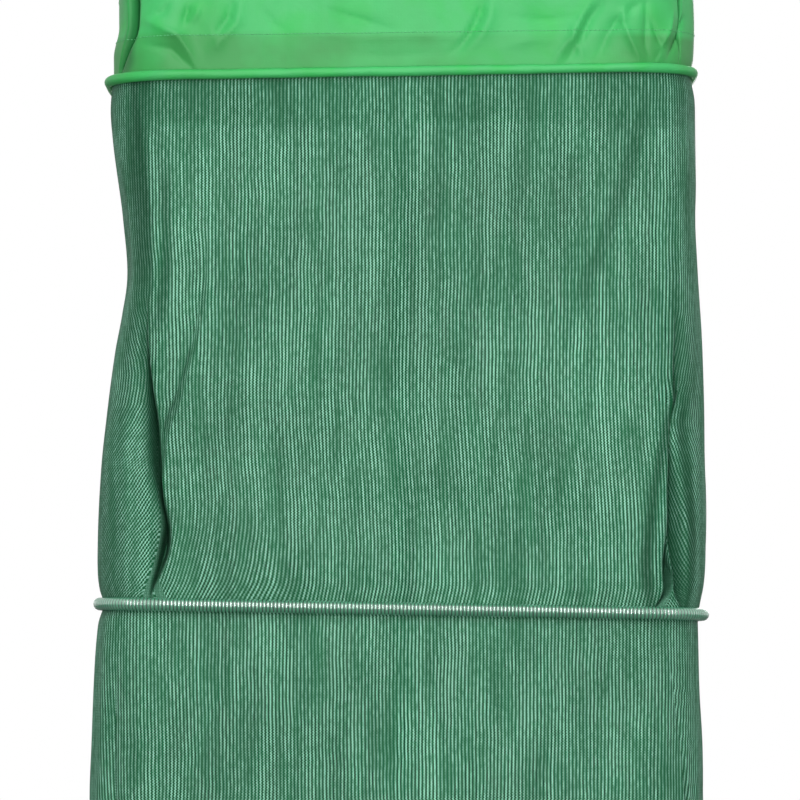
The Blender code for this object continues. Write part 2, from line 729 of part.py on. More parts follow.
def build_net():
    """The mouth, its collar, and every hoop with the sleeve of mesh that hangs from it."""
    level = PIVOT_HEIGHT
    mouth = empty("mouth", (0, NET_Y, level))
    build_mouth(mouth)
    build_clamp(empty("clamp", (0, -FRAME_OFFSET, PIVOT_HEIGHT)))
    pivot = empty("pivot", (0, 0, PIVOT_HEIGHT))
    build_pivot(pivot)
    build_socket(pivot)
    build_knob(pivot)

    parent = mouth
    above = None
    for number, (name, roll, start) in enumerate(HOOPS, 1):
        first = above is None
        drop = COLLAR_HEIGHT if first else SECTION_LENGTH
        width = MOUTH_WIDTH if first else HOOP_WIDTH
        depth = MOUTH_DEPTH if first else HOOP_DEPTH
        tube = SLEEVE_RADIUS if first else COVER_RADIUS
        level -= drop
        here = empty(name, (0, NET_Y, level))
        build_hoop(name, roll, width, depth, here)
        lower = (width, depth, tube, roll, -drop)
        if first:
            build_collar(parent, lower)
        else:
            hanging_cloth(above[0], mesh_cloth, parent, above[1], lower, above[2])
        above = (f"mesh_section_{number}", (width, depth, tube, roll, 0), start)
        parent = here
    build_base(parent, HOOPS[-1][1])


def main():
    for old in list(bpy.data.objects):
        bpy.data.objects.remove(old, do_unlink=True)
    build_net()


main()
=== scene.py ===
"""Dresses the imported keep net: nylon collar, knitted mesh sleeves, ribbed hoops and hardware.

Metres, +Z up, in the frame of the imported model. The net hangs from the socket at the origin, its
front faces -Y, and +X is to the right seen from the front.
"""

import functools
import json
import math

import bmesh
import bpy
import numpy as np
from bpy.props import FloatProperty, FloatVectorProperty, IntProperty, PointerProperty
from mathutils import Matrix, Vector


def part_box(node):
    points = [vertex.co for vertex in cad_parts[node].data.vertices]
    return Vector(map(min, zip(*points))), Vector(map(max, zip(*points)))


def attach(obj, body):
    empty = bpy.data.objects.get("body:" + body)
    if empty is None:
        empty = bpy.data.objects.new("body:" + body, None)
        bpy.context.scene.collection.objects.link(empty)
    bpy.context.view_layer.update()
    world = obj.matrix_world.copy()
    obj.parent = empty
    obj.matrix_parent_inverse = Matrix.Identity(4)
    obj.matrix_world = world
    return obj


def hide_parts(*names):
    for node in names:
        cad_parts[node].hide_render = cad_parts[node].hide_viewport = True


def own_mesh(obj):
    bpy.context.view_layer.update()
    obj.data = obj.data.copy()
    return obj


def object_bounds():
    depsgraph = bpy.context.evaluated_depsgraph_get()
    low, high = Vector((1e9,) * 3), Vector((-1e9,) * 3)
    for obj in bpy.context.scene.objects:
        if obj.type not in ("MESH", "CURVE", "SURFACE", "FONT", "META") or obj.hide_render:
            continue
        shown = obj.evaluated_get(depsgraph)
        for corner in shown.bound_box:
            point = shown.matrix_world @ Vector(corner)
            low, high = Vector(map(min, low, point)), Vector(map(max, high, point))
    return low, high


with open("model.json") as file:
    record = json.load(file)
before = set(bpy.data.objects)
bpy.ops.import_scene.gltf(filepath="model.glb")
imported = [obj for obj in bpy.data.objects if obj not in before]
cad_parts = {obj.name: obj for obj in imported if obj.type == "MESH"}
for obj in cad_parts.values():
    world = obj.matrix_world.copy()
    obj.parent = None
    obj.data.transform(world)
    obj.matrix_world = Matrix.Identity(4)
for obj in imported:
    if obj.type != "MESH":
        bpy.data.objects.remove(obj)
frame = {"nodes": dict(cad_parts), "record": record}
CAD_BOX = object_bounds()

bl_info = {
    "name": "Keep net",
    "version": (1, 0, 0),
    "blender": (4, 5, 0),
    "location": "View3D > Sidebar > Keep net",
    "description": "Builds the cloth, mesh, hoops and fittings of a hanging keep net",
    "category": "Object",
}

MM = 0.001
CORNER_RADIUS = 0.055
ROD_RADIUS = 0.0025
MOUTH_ROD_RADIUS = 0.004
COVER_RADIUS = 0.00525
HEM_RADIUS = 0.0040
MOUTH_HEM_RADIUS = 0.0055
COVER_END = 0.0153
CLAMP_SIDE = 0.025
FRAME_OFFSET = 0.034
PIVOT_HEIGHT = 0.038
CLOTH_SINK, CLOTH_LIFT = 0.0012, 0.00015
DOUBLED_HEM = 0.033
TAPE_THICKNESS = 0.0007
BASE_SAG = 0.012
NOTCH_HALF, NOTCH_EDGE = 0.0274, 0.0014
MOUTH_STITCHES, HEM_STITCHES = 0.009, 0.031
FRONT_CREASE_GAIN = 2.8
SEAM_COLUMNS, CLAMP_COLUMNS = 2, 18
SLEEVE_ROWS = 150
COLLAR_ROWS = 110
HEM_STATIONS, HEM_SIDES = 900, 20
COVER_STATIONS = 1200
BASE_COLUMNS, BASE_ROWS = 240, 60
TAPE_COLUMNS, TAPE_ROWS = 480, 9
RIB_STEPS, RIB_SIDES = 6, 14
STITCH_SHARE = 0.78
SCREW_TURN = 0.7
KNIT_UV = "knit"
TUCKED_SHADE = "tucked_shade"
GROOVE = "groove"

# In mm, as the profiles of the fittings are
PIVOT_HOLE, THREAD_PITCH = 3.3, 1.27

# The camera that the photograph fits: its focal length in pixels, place and upward tilt
PHOTO_SIZE, FOCAL_PIXELS = 800, 5043
CAMERA_PLACE, CAMERA_TILT = (-0.001, -4.5065, -0.683), 2.84
LAMP_AIM = (0, -0.22, -0.5)
LAMPS = (
    ("key left", (-0.30, -3.5, 0.6), (0.17, 5.2), 74.0),
    ("key right", (0.365, -3.5, 0.6), (0.13, 5.2), 66.0),
    ("wide front", (-0.8, -3.6, 2.2), (1.2, 1.2), 10.0),
    ("rear fill", (0.5, 3.6, 0.6), (1.6, 2.2), 90.0),
    ("left fill", (-3.6, 0.4, 0.2), (1.2, 2.2), 14.0),
    ("right fill", (3.6, 0.4, 0.2), (1.2, 2.2), 14.0),
)

# Share of a wale that a column of loops takes up, and how much of the gap between two is clear
# where the cloth lies close and where it is pulled open
PILLAR_SHARE = 0.44
CLEAR_LEAST = 0.1
CLEAR_MOST = 0.18

# Each hoop from the top: its CAD rod, the body that carries it and its roll in degrees
HOOPS = (
    ("mouth_frame", "mouth", 0.0),
    ("hoop_1_rod", "hoop_1", -0.9),
    ("hoop_2_rod", "hoop_2", 1.0),
    ("hoop_3_rod", "hoop_3", -0.4),
    ("hoop_4_rod", "hoop_4", 0.3),
    ("base_hoop_rod", "base", 0.0),
)

# Name, label, what it is, and its size and least size in mm
SIZES = (
    ("wale_pitch", "Wale pitch", "From one knitted column to the next", 2.9, 1.0),
    ("course_pitch", "Course pitch", "From one knitted row to the next", 1.1, 0.5),
    ("rib_pitch", "Rib pitch", "From one rib of the hoop tubing to the next", 3.0, 1.0),
    ("rib_depth", "Rib depth", "Depth of the groove between two ribs", 0.8, 0.0),
    ("stitch_pitch", "Stitch pitch", "From one stitch to the next", 3.2, 1.0),
    ("thread", "Thread", "Radius of the sewing thread", 0.35, 0.05),
    ("fold_depth", "Fold depth", "How far the soft folds of the mesh stand out", 3.2, 0.0),
    ("crease_depth", "Crease depth", "How far the creases of the nylon stand out", 2.2, 0.0),
)
COLOURS = (
    ("nylon", "Nylon", "Collar and hems", "43B465"),
    ("nylon_bright", "Nylon, strong", "Where the dye took most", "2FB44F"),
    # Worn patches, and painted shade of the inner layer where the collar's hem lies double
    ("nylon_shade", "Nylon, shaded", "Where the collar is doubled or worn", "3C944D"),
    # Painted shade inside a pleat
    ("nylon_tucked", "Nylon, tucked", "Inside a pleat", "1B6A32"),
    ("yarn", "Yarn", "Fine threads between the columns", "045F36"),
    # The loop colour is the colour of a painted highlight on the knitted columns
    ("pale_yarn", "Loop yarn", "Knitted columns, which catch the light", "98D4BB"),
    ("tubing", "Tubing", "Ribbed covers of the hoops", "3A8C69"),
    ("plastic", "Plastic", "Clamp, socket and knob", "26272A"),
)


def linear(code):
    """An sRGB hex colour as linear red, green, blue and alpha."""
    parts = [int(code[at:at + 2], 16) / 255 for at in (0, 2, 4)]
    straight = [p / 12.92 if p <= 0.04045 else ((p + 0.055) / 1.055) ** 2.4 for p in parts]
    return (*straight, 1.0)


class NetSizes(bpy.types.PropertyGroup):
    """Sizes of what repeats on the net."""

    __annotations__ = {
        key: FloatProperty(
            name=label, description=text, default=size * MM, min=least * MM, unit="LENGTH")
        for key, label, text, size, least in SIZES}
    __annotations__["columns"] = IntProperty(
        name="Columns", description="Faces round each sleeve", default=600, min=120)


class NetColours(bpy.types.PropertyGroup):
    """Colours of the net."""

    __annotations__ = {
        key: FloatVectorProperty(
            name=label, description=text, subtype="COLOR", size=4, default=linear(code),
            min=0.0, max=1.0)
        for key, label, text, code in COLOURS}


# Materials


def feed(tree, value, socket):
    """Links a node's first output or an output socket to a socket, or sets it to a value."""
    if isinstance(value, bpy.types.Node):
        value = value.outputs[0]
    if isinstance(value, bpy.types.NodeSocket):
        tree.links.new(value, socket)
    elif value is not None:
        socket.default_value = value


def add_node(tree, kind, *inputs, at=None, **settings):
    """Adds a node to a tree. Inputs feed its sockets in order, passing over None. Those in at feed
    the sockets of that number, and settings that start with a capital the sockets of that name."""
    node = tree.nodes.new(kind if "Node" in kind else "ShaderNode" + kind)
    named = {}
    for key, value in settings.items():
        if key[0].isupper():
            named[key.replace("_", " ")] = value
        else:
            setattr(node, key, value)
    for key, value in (*enumerate(inputs), *(at or {}).items(), *named.items()):
        feed(tree, value, node.inputs[key])
    return node


def material(name):
    """The material of that name, made once: constants go straight onto the shader's sockets, and
    its function adds nodes and says what feeds the others."""
    made = bpy.data.materials.get(name)
    if made:
        return made
    lay_out, constants = MATERIALS[name]
    made = bpy.data.materials.new(name)
    made.use_nodes = True
    tree = made.node_tree
    shader = tree.nodes["Principled BSDF"]
    add = functools.partial(add_node, tree)
    links = lay_out(add, add("TexCoord").outputs["Object"], bpy.context.scene.net_colours)
    for key, value in {**constants, **links}.items():
        feed(tree, value, shader.inputs[key.replace("_", " ")])
    return made


def knitted_mesh(add, place, colours):
    """Warp-knitted polyester: columns of loops with a painted highlight where they catch the
    light, and between each two a dark gap that threads cross, too fine to draw, so that it shows
    in part what lies behind. The columns open and close in long leaning patches, as the cloth is
    pulled here and there. Where it is tucked away it lies close and gets painted shade; a negative
    tucked value paints light instead."""
    uv = add("UVMap", uv_map=KNIT_UV)
    # How far the cloth is tucked into a pleat or lies close: painted shade, and painted light
    # where negative
    tucked_shade = add("Attribute", attribute_name=TUCKED_SHADE).outputs["Fac"]
    long = add("Mapping", place, None, (0.0, 0.2, 0.0), (1.0, 1.0, 0.15))
    pulled = add("TexNoise", long, Scale=85.0, Detail=3.5, Roughness=0.65, Distortion=0.6)
    open_share = add("MapRange", pulled, 0.36, 0.64)
    wander = add("TexNoise", place, Scale=28.0, Detail=1.0)
    parts = add("SeparateXYZ", uv).outputs
    wale = add("Math", wander, 0.8, parts[0], operation="MULTIPLY_ADD")
    step = add("Math", parts[1], 1.0, operation="PINGPONG")
    lean = add("Math", step, 0.3, wale, operation="MULTIPLY_ADD")
    across = add("Math", lean, operation="FRACT")
    middle = add("Math", across, 0.5, operation="SUBTRACT")
    middle = add("Math", middle, operation="ABSOLUTE")
    round_top = add(
        "MapRange", middle, 0.5 - PILLAR_SHARE / 2 - 0.06, 0.37, interpolation_type="SMOOTHSTEP")

    clear = add("MapRange", open_share, None, None, CLEAR_LEAST, CLEAR_MOST)
    for hidden in (tucked_shade, round_top):
        shown = add("Math", 1.0, hidden, operation="SUBTRACT", use_clamp=True)
        clear = add("Math", clear, shown, operation="MULTIPLY")
    cover = add("Math", 1.0, clear, operation="SUBTRACT")

    # Painted highlight: each column glints a little differently, and each of its loops stands out
    column = add("Math", lean, operation="ROUND")
    column = add("TexWhiteNoise", W=column, noise_dimensions="1D")
    runs = add("Mapping", uv, None, None, (0.9, 0.16, 1.0))
    runs = add("TexNoise", runs, Scale=1.0, Detail=2.0, noise_dimensions="2D")
    glint = add("MapRange", open_share, None, None, 0.4, 1.15)
    for factor in (add("MapRange", column, None, None, 0.8, 1.15),
                   add("MapRange", runs, 0.3, 0.7, 0.55, 1.35),
                   add("MapRange", step, None, None, 0.7, 1.15),
                   add("MapRange", tucked_shade, None, None, 1.0, 0.35)):
        glint = add("Math", glint, factor, operation="MULTIPLY")
    # Painted highlight: the tops of the loop columns are mixed towards the loop colour
    painted_highlight = add("Mix", glint, None, 0.05, round_top, data_type="FLOAT")

    patches = add("TexNoise", place, Scale=9.0, Detail=2.0)
    streaks = add("Mapping", place, None, (0.0, 0.1, 0.0), (1.0, 1.0, 0.13))
    streaks = add("TexNoise", streaks, Scale=60.0, Detail=3.0, Roughness=0.6, Distortion=0.4)
    tone = add("MapRange", patches, 0.3, 0.7, 0.75, 0.95)
    # Painted shade where the cloth is tucked, painted light where that value is negative, and
    # random streaks
    for factor in (add("MapRange", tucked_shade, -1.0, 1.0, 1.5, 0.5),
                   add("MapRange", streaks, 0.35, 0.65, 0.9, 1.12)):
        tone = add("Math", tone, factor, operation="MULTIPLY")
    colour = add("Mix", at={0: painted_highlight, 6: colours.yarn, 7: colours.pale_yarn}, data_type="RGBA")
    colour = add("VectorMath", colour.outputs[2], Scale=tone, operation="SCALE")
    bump = add("Bump", Height=round_top, Strength=0.4, Distance=0.3 * MM)
    return {"Base_Color": colour, "Alpha": cover, "Normal": bump}


def woven_nylon(add, place, colours, shaded_hem=False):
    """Coated nylon taffeta: a fine plain weave with a soft sheen, a little darker and yellower
    in worn patches and where it lies double, with painted shade of the layer behind showing
    through unevenly, and with painted shade where it is folded into a pleat."""
    cloudy = add("TexNoise", place, Scale=22.0, Detail=3.0, Distortion=0.8)
    bright = add("MapRange", cloudy, 0.45, 0.7, 0.0, 0.7)
    worn = add("TexNoise", place, Scale=11.0, Detail=4.0)
    wear_and_shade = add("MapRange", worn, 0.45, 0.75, 0.0, 0.55)
    # Painted shade of the inner layer, uneven, below the top of the doubled hem
    if shaded_hem:
        top = hoop_facts(1)[2] + DOUBLED_HEM
        height = add("SeparateXYZ", place).outputs[2]
        below = add("MapRange", height, top - 5 * MM, top + 1 * MM, 1.0, 0.0)
        uneven = add("MapRange", worn, 0.38, 0.6, 0.35, 1.0)
        below = add("Math", below, uneven, operation="MULTIPLY")
        wear_and_shade = add("Math", wear_and_shade, below, operation="MAXIMUM")
    # Painted shade inside the pleats
    tucked_shade = add("Attribute", attribute_name=TUCKED_SHADE).outputs["Fac"]
    colour = colours.nylon
    for share, other in ((bright, colours.nylon_bright), (wear_and_shade, colours.nylon_shade),
                         (tucked_shade, colours.nylon_tucked)):
        colour = add("Mix", at={0: share, 6: colour, 7: other}, data_type="RGBA").outputs[2]
    # Threads lie 0.4 mm apart and are drawn at 1.2 mm, so that they show at all
    threads = [add("TexWave", place, Scale=260.0, Distortion=0.6, bands_direction=axis)
               for axis in "XZ"]
    weave = add("Math", *threads, operation="MULTIPLY")
    fine = add("Bump", Height=weave, Strength=0.25, Distance=0.1 * MM)
    crinkle = add("TexNoise", place, Scale=60.0, Detail=4.0)
    bump = add("Bump", Height=crinkle, Strength=0.4, Distance=1.2 * MM, Normal=fine)
    return {"Base_Color": colour, "Normal": bump}


def ribbed_tubing(add, place, colours):
    """Extruded flexible plastic: glossy, with grooves darkened by painted shade and a few soft
    scuffs.
    """
    scuffs = add("TexNoise", place, Scale=45.0, Detail=3.0)
    groove = add("Attribute", attribute_name=GROOVE).outputs["Fac"]
    rough = add("MapRange", scuffs, 0.3, 0.7, 0.28, 0.38)
    rough = add("Math", groove, 0.5, rough, operation="MULTIPLY_ADD")
    tone = add("MapRange", scuffs, 0.3, 0.7, 0.9, 1.1)
    # Painted shade in the grooves between the ribs
    groove_shade = add("MapRange", groove, None, None, 1.0, 0.12)
    tone = add("Math", tone, groove_shade, operation="MULTIPLY")
    colour = add("VectorMath", colours.tubing[:3], Scale=tone, operation="SCALE")
    return {"Base_Color": colour, "Roughness": rough}


def moulded_plastic(add, place, colours):
    """Moulded glass-filled nylon: a fine spark-eroded grain and slightly worn, paler patches."""
    grain = add("TexNoise", place, Scale=2600.0, Detail=2.0)
    wear = add("TexNoise", place, Scale=120.0, Detail=4.0)
    rough = add("MapRange", wear, 0.35, 0.65, 0.42, 0.6)
    tone = add("MapRange", wear, 0.35, 0.75, 0.85, 1.5)
    colour = add("VectorMath", colours.plastic[:3], Scale=tone, operation="SCALE")
    bump = add("Bump", Height=grain, Strength=0.25, Distance=0.1 * MM)
    return {"Base_Color": colour, "Roughness": rough, "Normal": bump}


def seam_tape(add, place, colours):
    """Folded polyester binding: close twill lines across the tape, darker than the mesh."""
    # The twill's lines lie 0.5 mm apart and are drawn at 1.5 mm, so that they show
    twill = add("TexWave", place, Scale=210.0, Distortion=0.4, bands_direction="DIAGONAL")
    worn = add("TexNoise", place, Scale=70.0, Detail=3.0)
    tone = add("MapRange", worn, 0.3, 0.7, 0.8, 1.15)
    colour = add("Mix", at={0: twill, 6: linear("2C6E4C"), 7: linear("4E9A70")}, data_type="RGBA")
    colour = add("VectorMath", colour.outputs[2], Scale=tone, operation="SCALE")
    bump = add("Bump", Height=twill, Strength=0.4, Distance=0.15 * MM)
    return {"Base_Color": colour, "Normal": bump}


def sewing_thread(add, place, colours):
    """Spun polyester thread: pale green, with the slant of its twist."""
    twist = add("TexWave", place, Scale=480.0, Distortion=0.3, bands_direction="DIAGONAL")
    colour = add("Mix", at={0: twist, 6: linear("3F9A5C"), 7: linear("6FC78C")}, data_type="RGBA")
    return {"Base_Color": colour.outputs[2]}


def worked_metal(add, place, colours, code, roughness, scale):
    """Metal with fine lines along X from drawing or turning, and slightly uneven gloss."""
    stretch = add("Mapping", place, None, None, (0.06, 1.0, 1.0))
    lines = add("TexNoise", stretch, Scale=scale, Detail=3.0)
    rough = add("MapRange", lines, 0.3, 0.7, roughness * 0.8, roughness * 1.3)
    tone = add("MapRange", lines, 0.3, 0.7, 0.9, 1.08)
    colour = add("VectorMath", linear(code)[:3], Scale=tone, operation="SCALE")
    bump = add("Bump", Height=lines, Strength=0.15, Distance=0.05 * MM)
    return {"Base_Color": colour, "Roughness": rough, "Normal": bump}


def soft_rubber(add, place, colours):
    """Moulded rubber: dull, nearly black, with a dusty bloom."""
    bloom = add("TexNoise", place, Scale=300.0, Detail=3.0)
    tone = add("MapRange", bloom, 0.3, 0.7, 0.8, 1.6)
    colour = add("VectorMath", linear("1B1B1C")[:3], Scale=tone, operation="SCALE")
    rough = add("MapRange", bloom, 0.3, 0.7, 0.7, 0.9)
    return {"Base_Color": colour, "Roughness": rough}


def painted_floor(add, place, colours):
    """Pale matt paint. It is clear from below, so that the floor doesn't hide the net's base."""
    speckle = add("TexNoise", Scale=30.0, Detail=2.0)
    tone = add("MapRange", speckle, None, None, 0.26, 0.29)
    seen = add("LightPath").outputs["Is Camera Ray"]
    glow = add("Math", seen, 0.8, operation="MULTIPLY")
    under = add("NewGeometry").outputs["Backfacing"]
    solid = add("Math", 1.0, under, operation="SUBTRACT")
    return {"Base_Color": tone, "Emission_Strength": glow, "Alpha": solid}


def metal(code, roughness, scale):
    """How a metal is laid out, with the IOR as it comes."""
    lay_out = functools.partial(worked_metal, code=code, roughness=roughness, scale=scale)
    return lay_out, {"Metallic": 1.0}


NYLON = {"Roughness": 0.5, "IOR": 1.53, "Specular_IOR_Level": 0.25}
MATERIALS = {
    "knitted polyester": (
        knitted_mesh, {"Roughness": 0.65, "IOR": 1.5, "Specular_IOR_Level": 0.12}),
    "woven nylon": (woven_nylon, NYLON),
    # Its doubled hem gets painted shade
    "woven nylon, doubled hem": (functools.partial(woven_nylon, shaded_hem=True), NYLON),
    "extruded tubing": (
        ribbed_tubing, {"IOR": 1.6, "Specular_IOR_Level": 1.0, "Coat_Weight": 1.0,
                        "Coat_Roughness": 0.18, "Coat_IOR": 1.8}),
    "moulded nylon": (moulded_plastic, {"IOR": 1.53}),
    "polyester binding": (
        seam_tape, {"Roughness": 0.7, "IOR": 1.5, "Specular_IOR_Level": 0.2}),
    "spun polyester thread": (
        sewing_thread, {"Roughness": 0.6, "IOR": 1.5, "Specular_IOR_Level": 0.3}),
    "moulded rubber": (soft_rubber, {"IOR": 1.5}),
    "painted floor": (painted_floor, {"Roughness": 0.8, "Emission_Color": (1, 1, 1, 1)}),
    "turned steel": metal("C9CACC", 0.28, 900.0),
    "turned brass": metal("D9B96A", 0.26, 900.0),
    "drawn aluminium": metal("D2D4D6", 0.36, 700.0),
}


# Shapes


def hoop_facts(number):
    """Width, depth, level, middle in Y and roll of a hoop, measured on its CAD rod."""
    rod, _, roll = HOOPS[number]
    low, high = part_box(rod)
    thick = MOUTH_ROD_RADIUS if number == 0 else ROD_RADIUS
    middle = (low + high) / 2
    width = (high.x - low.x - 2 * thick) / math.cos(math.radians(roll))
    return width, high.y - low.y - 2 * thick, middle.z, middle.y, math.radians(roll)


def outline(width, depth, share):
    """Points and outward directions of a rounded rectangle, as arrays, at shares of a turn from
    its front middle towards +X, and the distance round it."""
    radius = CORNER_RADIUS
    half, side, arc = width / 2 - radius, depth - 2 * radius, math.pi / 2 * radius
    total = 4 * half + 2 * side + 4 * arc
    share = wrapped(share)
    along = np.abs(share) * total
    ends = np.cumsum([half, arc, side, arc, half])
    turn_1 = np.clip((along - ends[0]) / radius, 0, math.pi / 2)
    turn_2 = np.clip((along - ends[2]) / radius, 0, math.pi / 2)
    angle = turn_1 + turn_2
    out_x, out_y = np.sin(angle), -np.cos(angle)
    x = np.minimum(along, half) + radius * np.sin(turn_1)
    x = x - radius * (1 - np.cos(turn_2)) - np.clip(along - ends[3], 0, half)
    y = -depth / 2 + radius * (1 - np.cos(turn_1)) + np.clip(along - ends[1], 0, side)
    y = y + radius * np.sin(turn_2)
    sign = np.where(share < 0, -1.0, 1.0)
    return x * sign, y, out_x * sign, out_y, total


def way_round(facts):
    """The distance round a hoop."""
    return outline(*facts[:2], np.zeros(1))[4]


def new_object(name, data):
    made = bpy.data.objects.new(name, data)
    bpy.context.scene.collection.objects.link(made)
    return made


def grid_object(name, points, finish, cloth=None):
    """A mesh object from rows of points, closed round each row. cloth gives each point its place
    on the flat cloth, for the UV map, with one more column than there are points."""
    rows, columns = points.shape[:2]
    row, column = np.meshgrid(np.arange(rows - 1), np.arange(columns), indexing="ij")
    after = (column + 1) % columns
    corners = np.stack(
        [row * columns + column, (row + 1) * columns + column,
         (row + 1) * columns + after, row * columns + after], axis=-1).reshape(-1, 4)
    mesh = bpy.data.meshes.new(name)
    mesh.vertices.add(rows * columns)
    mesh.vertices.foreach_set("co", points.reshape(-1).astype(np.float32))
    mesh.loops.add(corners.size)
    mesh.loops.foreach_set("vertex_index", corners.reshape(-1).astype(np.int32))
    mesh.polygons.add(len(corners))
    mesh.polygons.foreach_set("loop_start", np.arange(0, corners.size, 4, dtype=np.int32))
    mesh.update(calc_edges=True)
    if cloth is not None:
        found = np.stack(
            [cloth[:-1, :-1], cloth[1:, :-1], cloth[1:, 1:], cloth[:-1, 1:]], axis=2)
        layer = mesh.uv_layers.new(name=KNIT_UV)
        layer.data.foreach_set("uv", found.reshape(-1).astype(np.float32))
    mesh.validate()
    mesh.shade_smooth()
    mesh.materials.append(finish)
    return new_object(name, mesh)


def eased(shares, table):
    """A smooth curve through a table of (share, value) rows, that never passes beyond them."""
    table = np.array(table, float)
    shares = np.clip(np.asarray(shares, float), table[0, 0], table[-1, 0])
    at = np.clip(np.searchsorted(table[:, 0], shares, side="right") - 1, 0, len(table) - 2)
    rises = np.diff(table[:, 1]) / np.diff(table[:, 0])
    same = rises[:-1] * rises[1:] > 0
    both = np.where(same, rises[:-1] + rises[1:], 1.0)
    inner = np.where(same, 2 * rises[:-1] * rises[1:] / both, 0.0)
    slopes = np.concatenate([rises[:1], inner, rises[-1:]])
    low, high = table[at], table[at + 1]
    span = high[..., 0] - low[..., 0]
    t = (shares - low[..., 0]) / span
    h = 2 * t ** 3 - 3 * t ** 2
    rise = (t ** 3 - 2 * t ** 2 + t) * slopes[at] + (t ** 3 - t ** 2) * slopes[at + 1]
    return low[..., 1] * (1 + h) - high[..., 1] * h + rise * span


def soft_folds(share, down, seed, count, lowest, highest):
    """Long leaning folds round a sleeve, between -1 and 1, from seeded waves."""
    rng = np.random.default_rng(seed)
    total = np.zeros(np.broadcast(share, down).shape)
    for _ in range(count):
        waves = rng.integers(lowest, highest)
        lean = rng.normal() * 1.3
        bend = rng.normal() * 0.8
        phase = rng.uniform(0, 2 * math.pi)
        fade = 0.6 + 0.4 * np.sin(2 * math.pi * (down * rng.uniform(0.5, 1.4) + rng.uniform()))
        total += fade * np.sin(2 * math.pi * waves * share + lean * down * 4
                               + bend * np.sin(down * 5) + phase)
    return total / math.sqrt(count)


def wrapped(share):
    return (share + 0.5) % 1.0 - 0.5


def pleat(share, down, around, path, depth, narrow=0.2, reach=0.12):
    """One tucked pleat: how far each column slides towards it, as a share of a turn, how far the
    cloth goes in there and how well that hides it, which the materials paint as shade. path and
    depth give its place and its depth at shares of the height."""
    middle = eased(down, path) / around
    deep = np.maximum(eased(down, depth), 0)
    away = wrapped(share - middle) * around
    size = np.sqrt(away ** 2 + (0.8 * MM) ** 2)
    inside = size / np.maximum(deep, 1e-6)
    beyond = np.maximum(size - deep, 0)
    slide = deep * (1 - narrow) * (inside ** -6 + 1) ** (-1 / 6) * np.exp(-beyond / reach)
    inward = 0.85 * deep * (0.5 + 0.5 * np.cos(math.pi * np.minimum(inside, 1)))
    hidden = np.clip((deep * 1.05 - size) / (deep * 0.5 + 1e-6), 0, 1)
    return -np.sign(away) * slide / around, inward, hidden * np.clip(deep / 0.012, 0, 1)


def spread_shares(columns, extra=0):
    """Shares of a turn from the rear middle round to it again, closer together at the corners,
    where the cloth folds."""
    even = np.arange(columns + extra) / columns - 0.5
    return even - np.sign(even) * 0.55 / (8 * math.pi) * (
        np.sin(8 * math.pi * (np.abs(even) - 0.14)) + math.sin(8 * math.pi * 0.14))


def sleeve_points(upper, lower, insets, rows, columns, character):
    """Rows of points of a hanging sleeve, and how much painted shade each gets, from how far it is
    tucked away in a pleat and from bands of painted shade, negative for painted light. insets are
    how far inside each hoop's rod line it starts and ends. character gives its folds, pleats,
    edges and bulge."""
    down = np.linspace(0, 1, rows + 1)[:, None]
    share = spread_shares(columns)[None, :] + 0 * down
    around = way_round(lower)
    place = share.copy()
    inward = np.zeros_like(share)
    tucked_shade = np.zeros_like(share)
    for path, depth, *narrow in character["pleats"]:
        slide, groove, hidden = pleat(share, down, around, path, depth, *narrow)
        place += slide
        inward += groove
        tucked_shade = np.maximum(tucked_shade, hidden)
    for path, wide, strength in character["bands"]:
        away = np.abs(place - eased(down, path) / around) * around
        band = eased(down, strength) * np.clip(1.5 - away / wide, 0, 1)
        tucked_shade = np.where(np.abs(band) > np.abs(tucked_shade), band, tucked_shade)
    points = []
    for (width, depth, level, mid, roll), inset in zip((upper, lower), insets):
        x, y, out_x, out_y, _ = outline(width, depth, place)
        x, y = x - out_x * inset, y - out_y * inset
        points.append((x, y + mid, level - x * math.sin(roll), out_x, out_y))
    x, y, z, out_x, out_y = [a + (b - a) * down for a, b in zip(*points)]
    hold = np.sin(math.pi * np.clip(down, 0, 1)) ** 0.6
    push = character["fold"] * hold * (
        soft_folds(share, down, character["seed"], 9, 2, 26)
        + 0.22 * soft_folds(share, down, character["seed"] + 1, 14, 30, 80))
    push += eased(down, character["bulge"]) - inward
    x = x + out_x * push
    y = y + out_y * push
    reach = np.clip(np.abs(x) / (lower[0] / 2), 0, 1.1) ** 3
    edge = np.where(x < 0, -eased(down, character["left"]), eased(down, character["right"]))
    return np.stack([x + edge * reach, y, z], axis=-1), tucked_shade


def mark(piece, name, values):
    """Gives every point of a piece a value that its material reads."""
    layer = piece.data.attributes.new(name, "FLOAT", "POINT")
    layer.data.foreach_set("value", values.reshape(-1).astype(np.float32))


def knit_places(points, around, height, sizes, leans=()):
    """Where each point of a sleeve lies on its flat cloth, counted in wales and courses from the
    front middle. leans are stretches where the cloth is pulled askew: where they start and end
    round the sleeve, and how far the wales are shifted at shares of the height."""
    rows, columns = points.shape[:2]
    closed = np.concatenate([points, points[:, :1]], axis=1)
    steps = np.hypot(np.diff(closed[..., 0]), np.diff(closed[..., 1]))
    along = np.concatenate([np.zeros((rows, 1)), np.cumsum(steps, axis=1)], axis=1)
    along = along - along[:, columns // 2:columns // 2 + 1]
    place = spread_shares(columns, 1)[None, :] * around
    down = np.linspace(0, 1, rows)[:, None]
    # Behind, the wales run straight down beside the seam
    behind = np.clip((np.abs(place) - 0.26) / (around / 2 - 0.26), 0, 1)
    for end, half in ((0, place < 0), (-1, place > 0)):
        spare = along[:, end:][:, :1].mean() - along[:, end:][:, :1]
        along = along + spare * behind * half
    for (start, full, wane, end), table in leans:
        rise = np.clip((place - start) / (full - start), 0, 1)
        fall = np.clip((end - place) / (end - wane), 0, 1)
        along = along + (rise * rise * (3 - 2 * rise)) * (fall * fall * (3 - 2 * fall)) * eased(
            down, table)
    courses = down * height / sizes.course_pitch + 0 * along
    return np.stack([along / sizes.wale_pitch, courses], axis=-1)


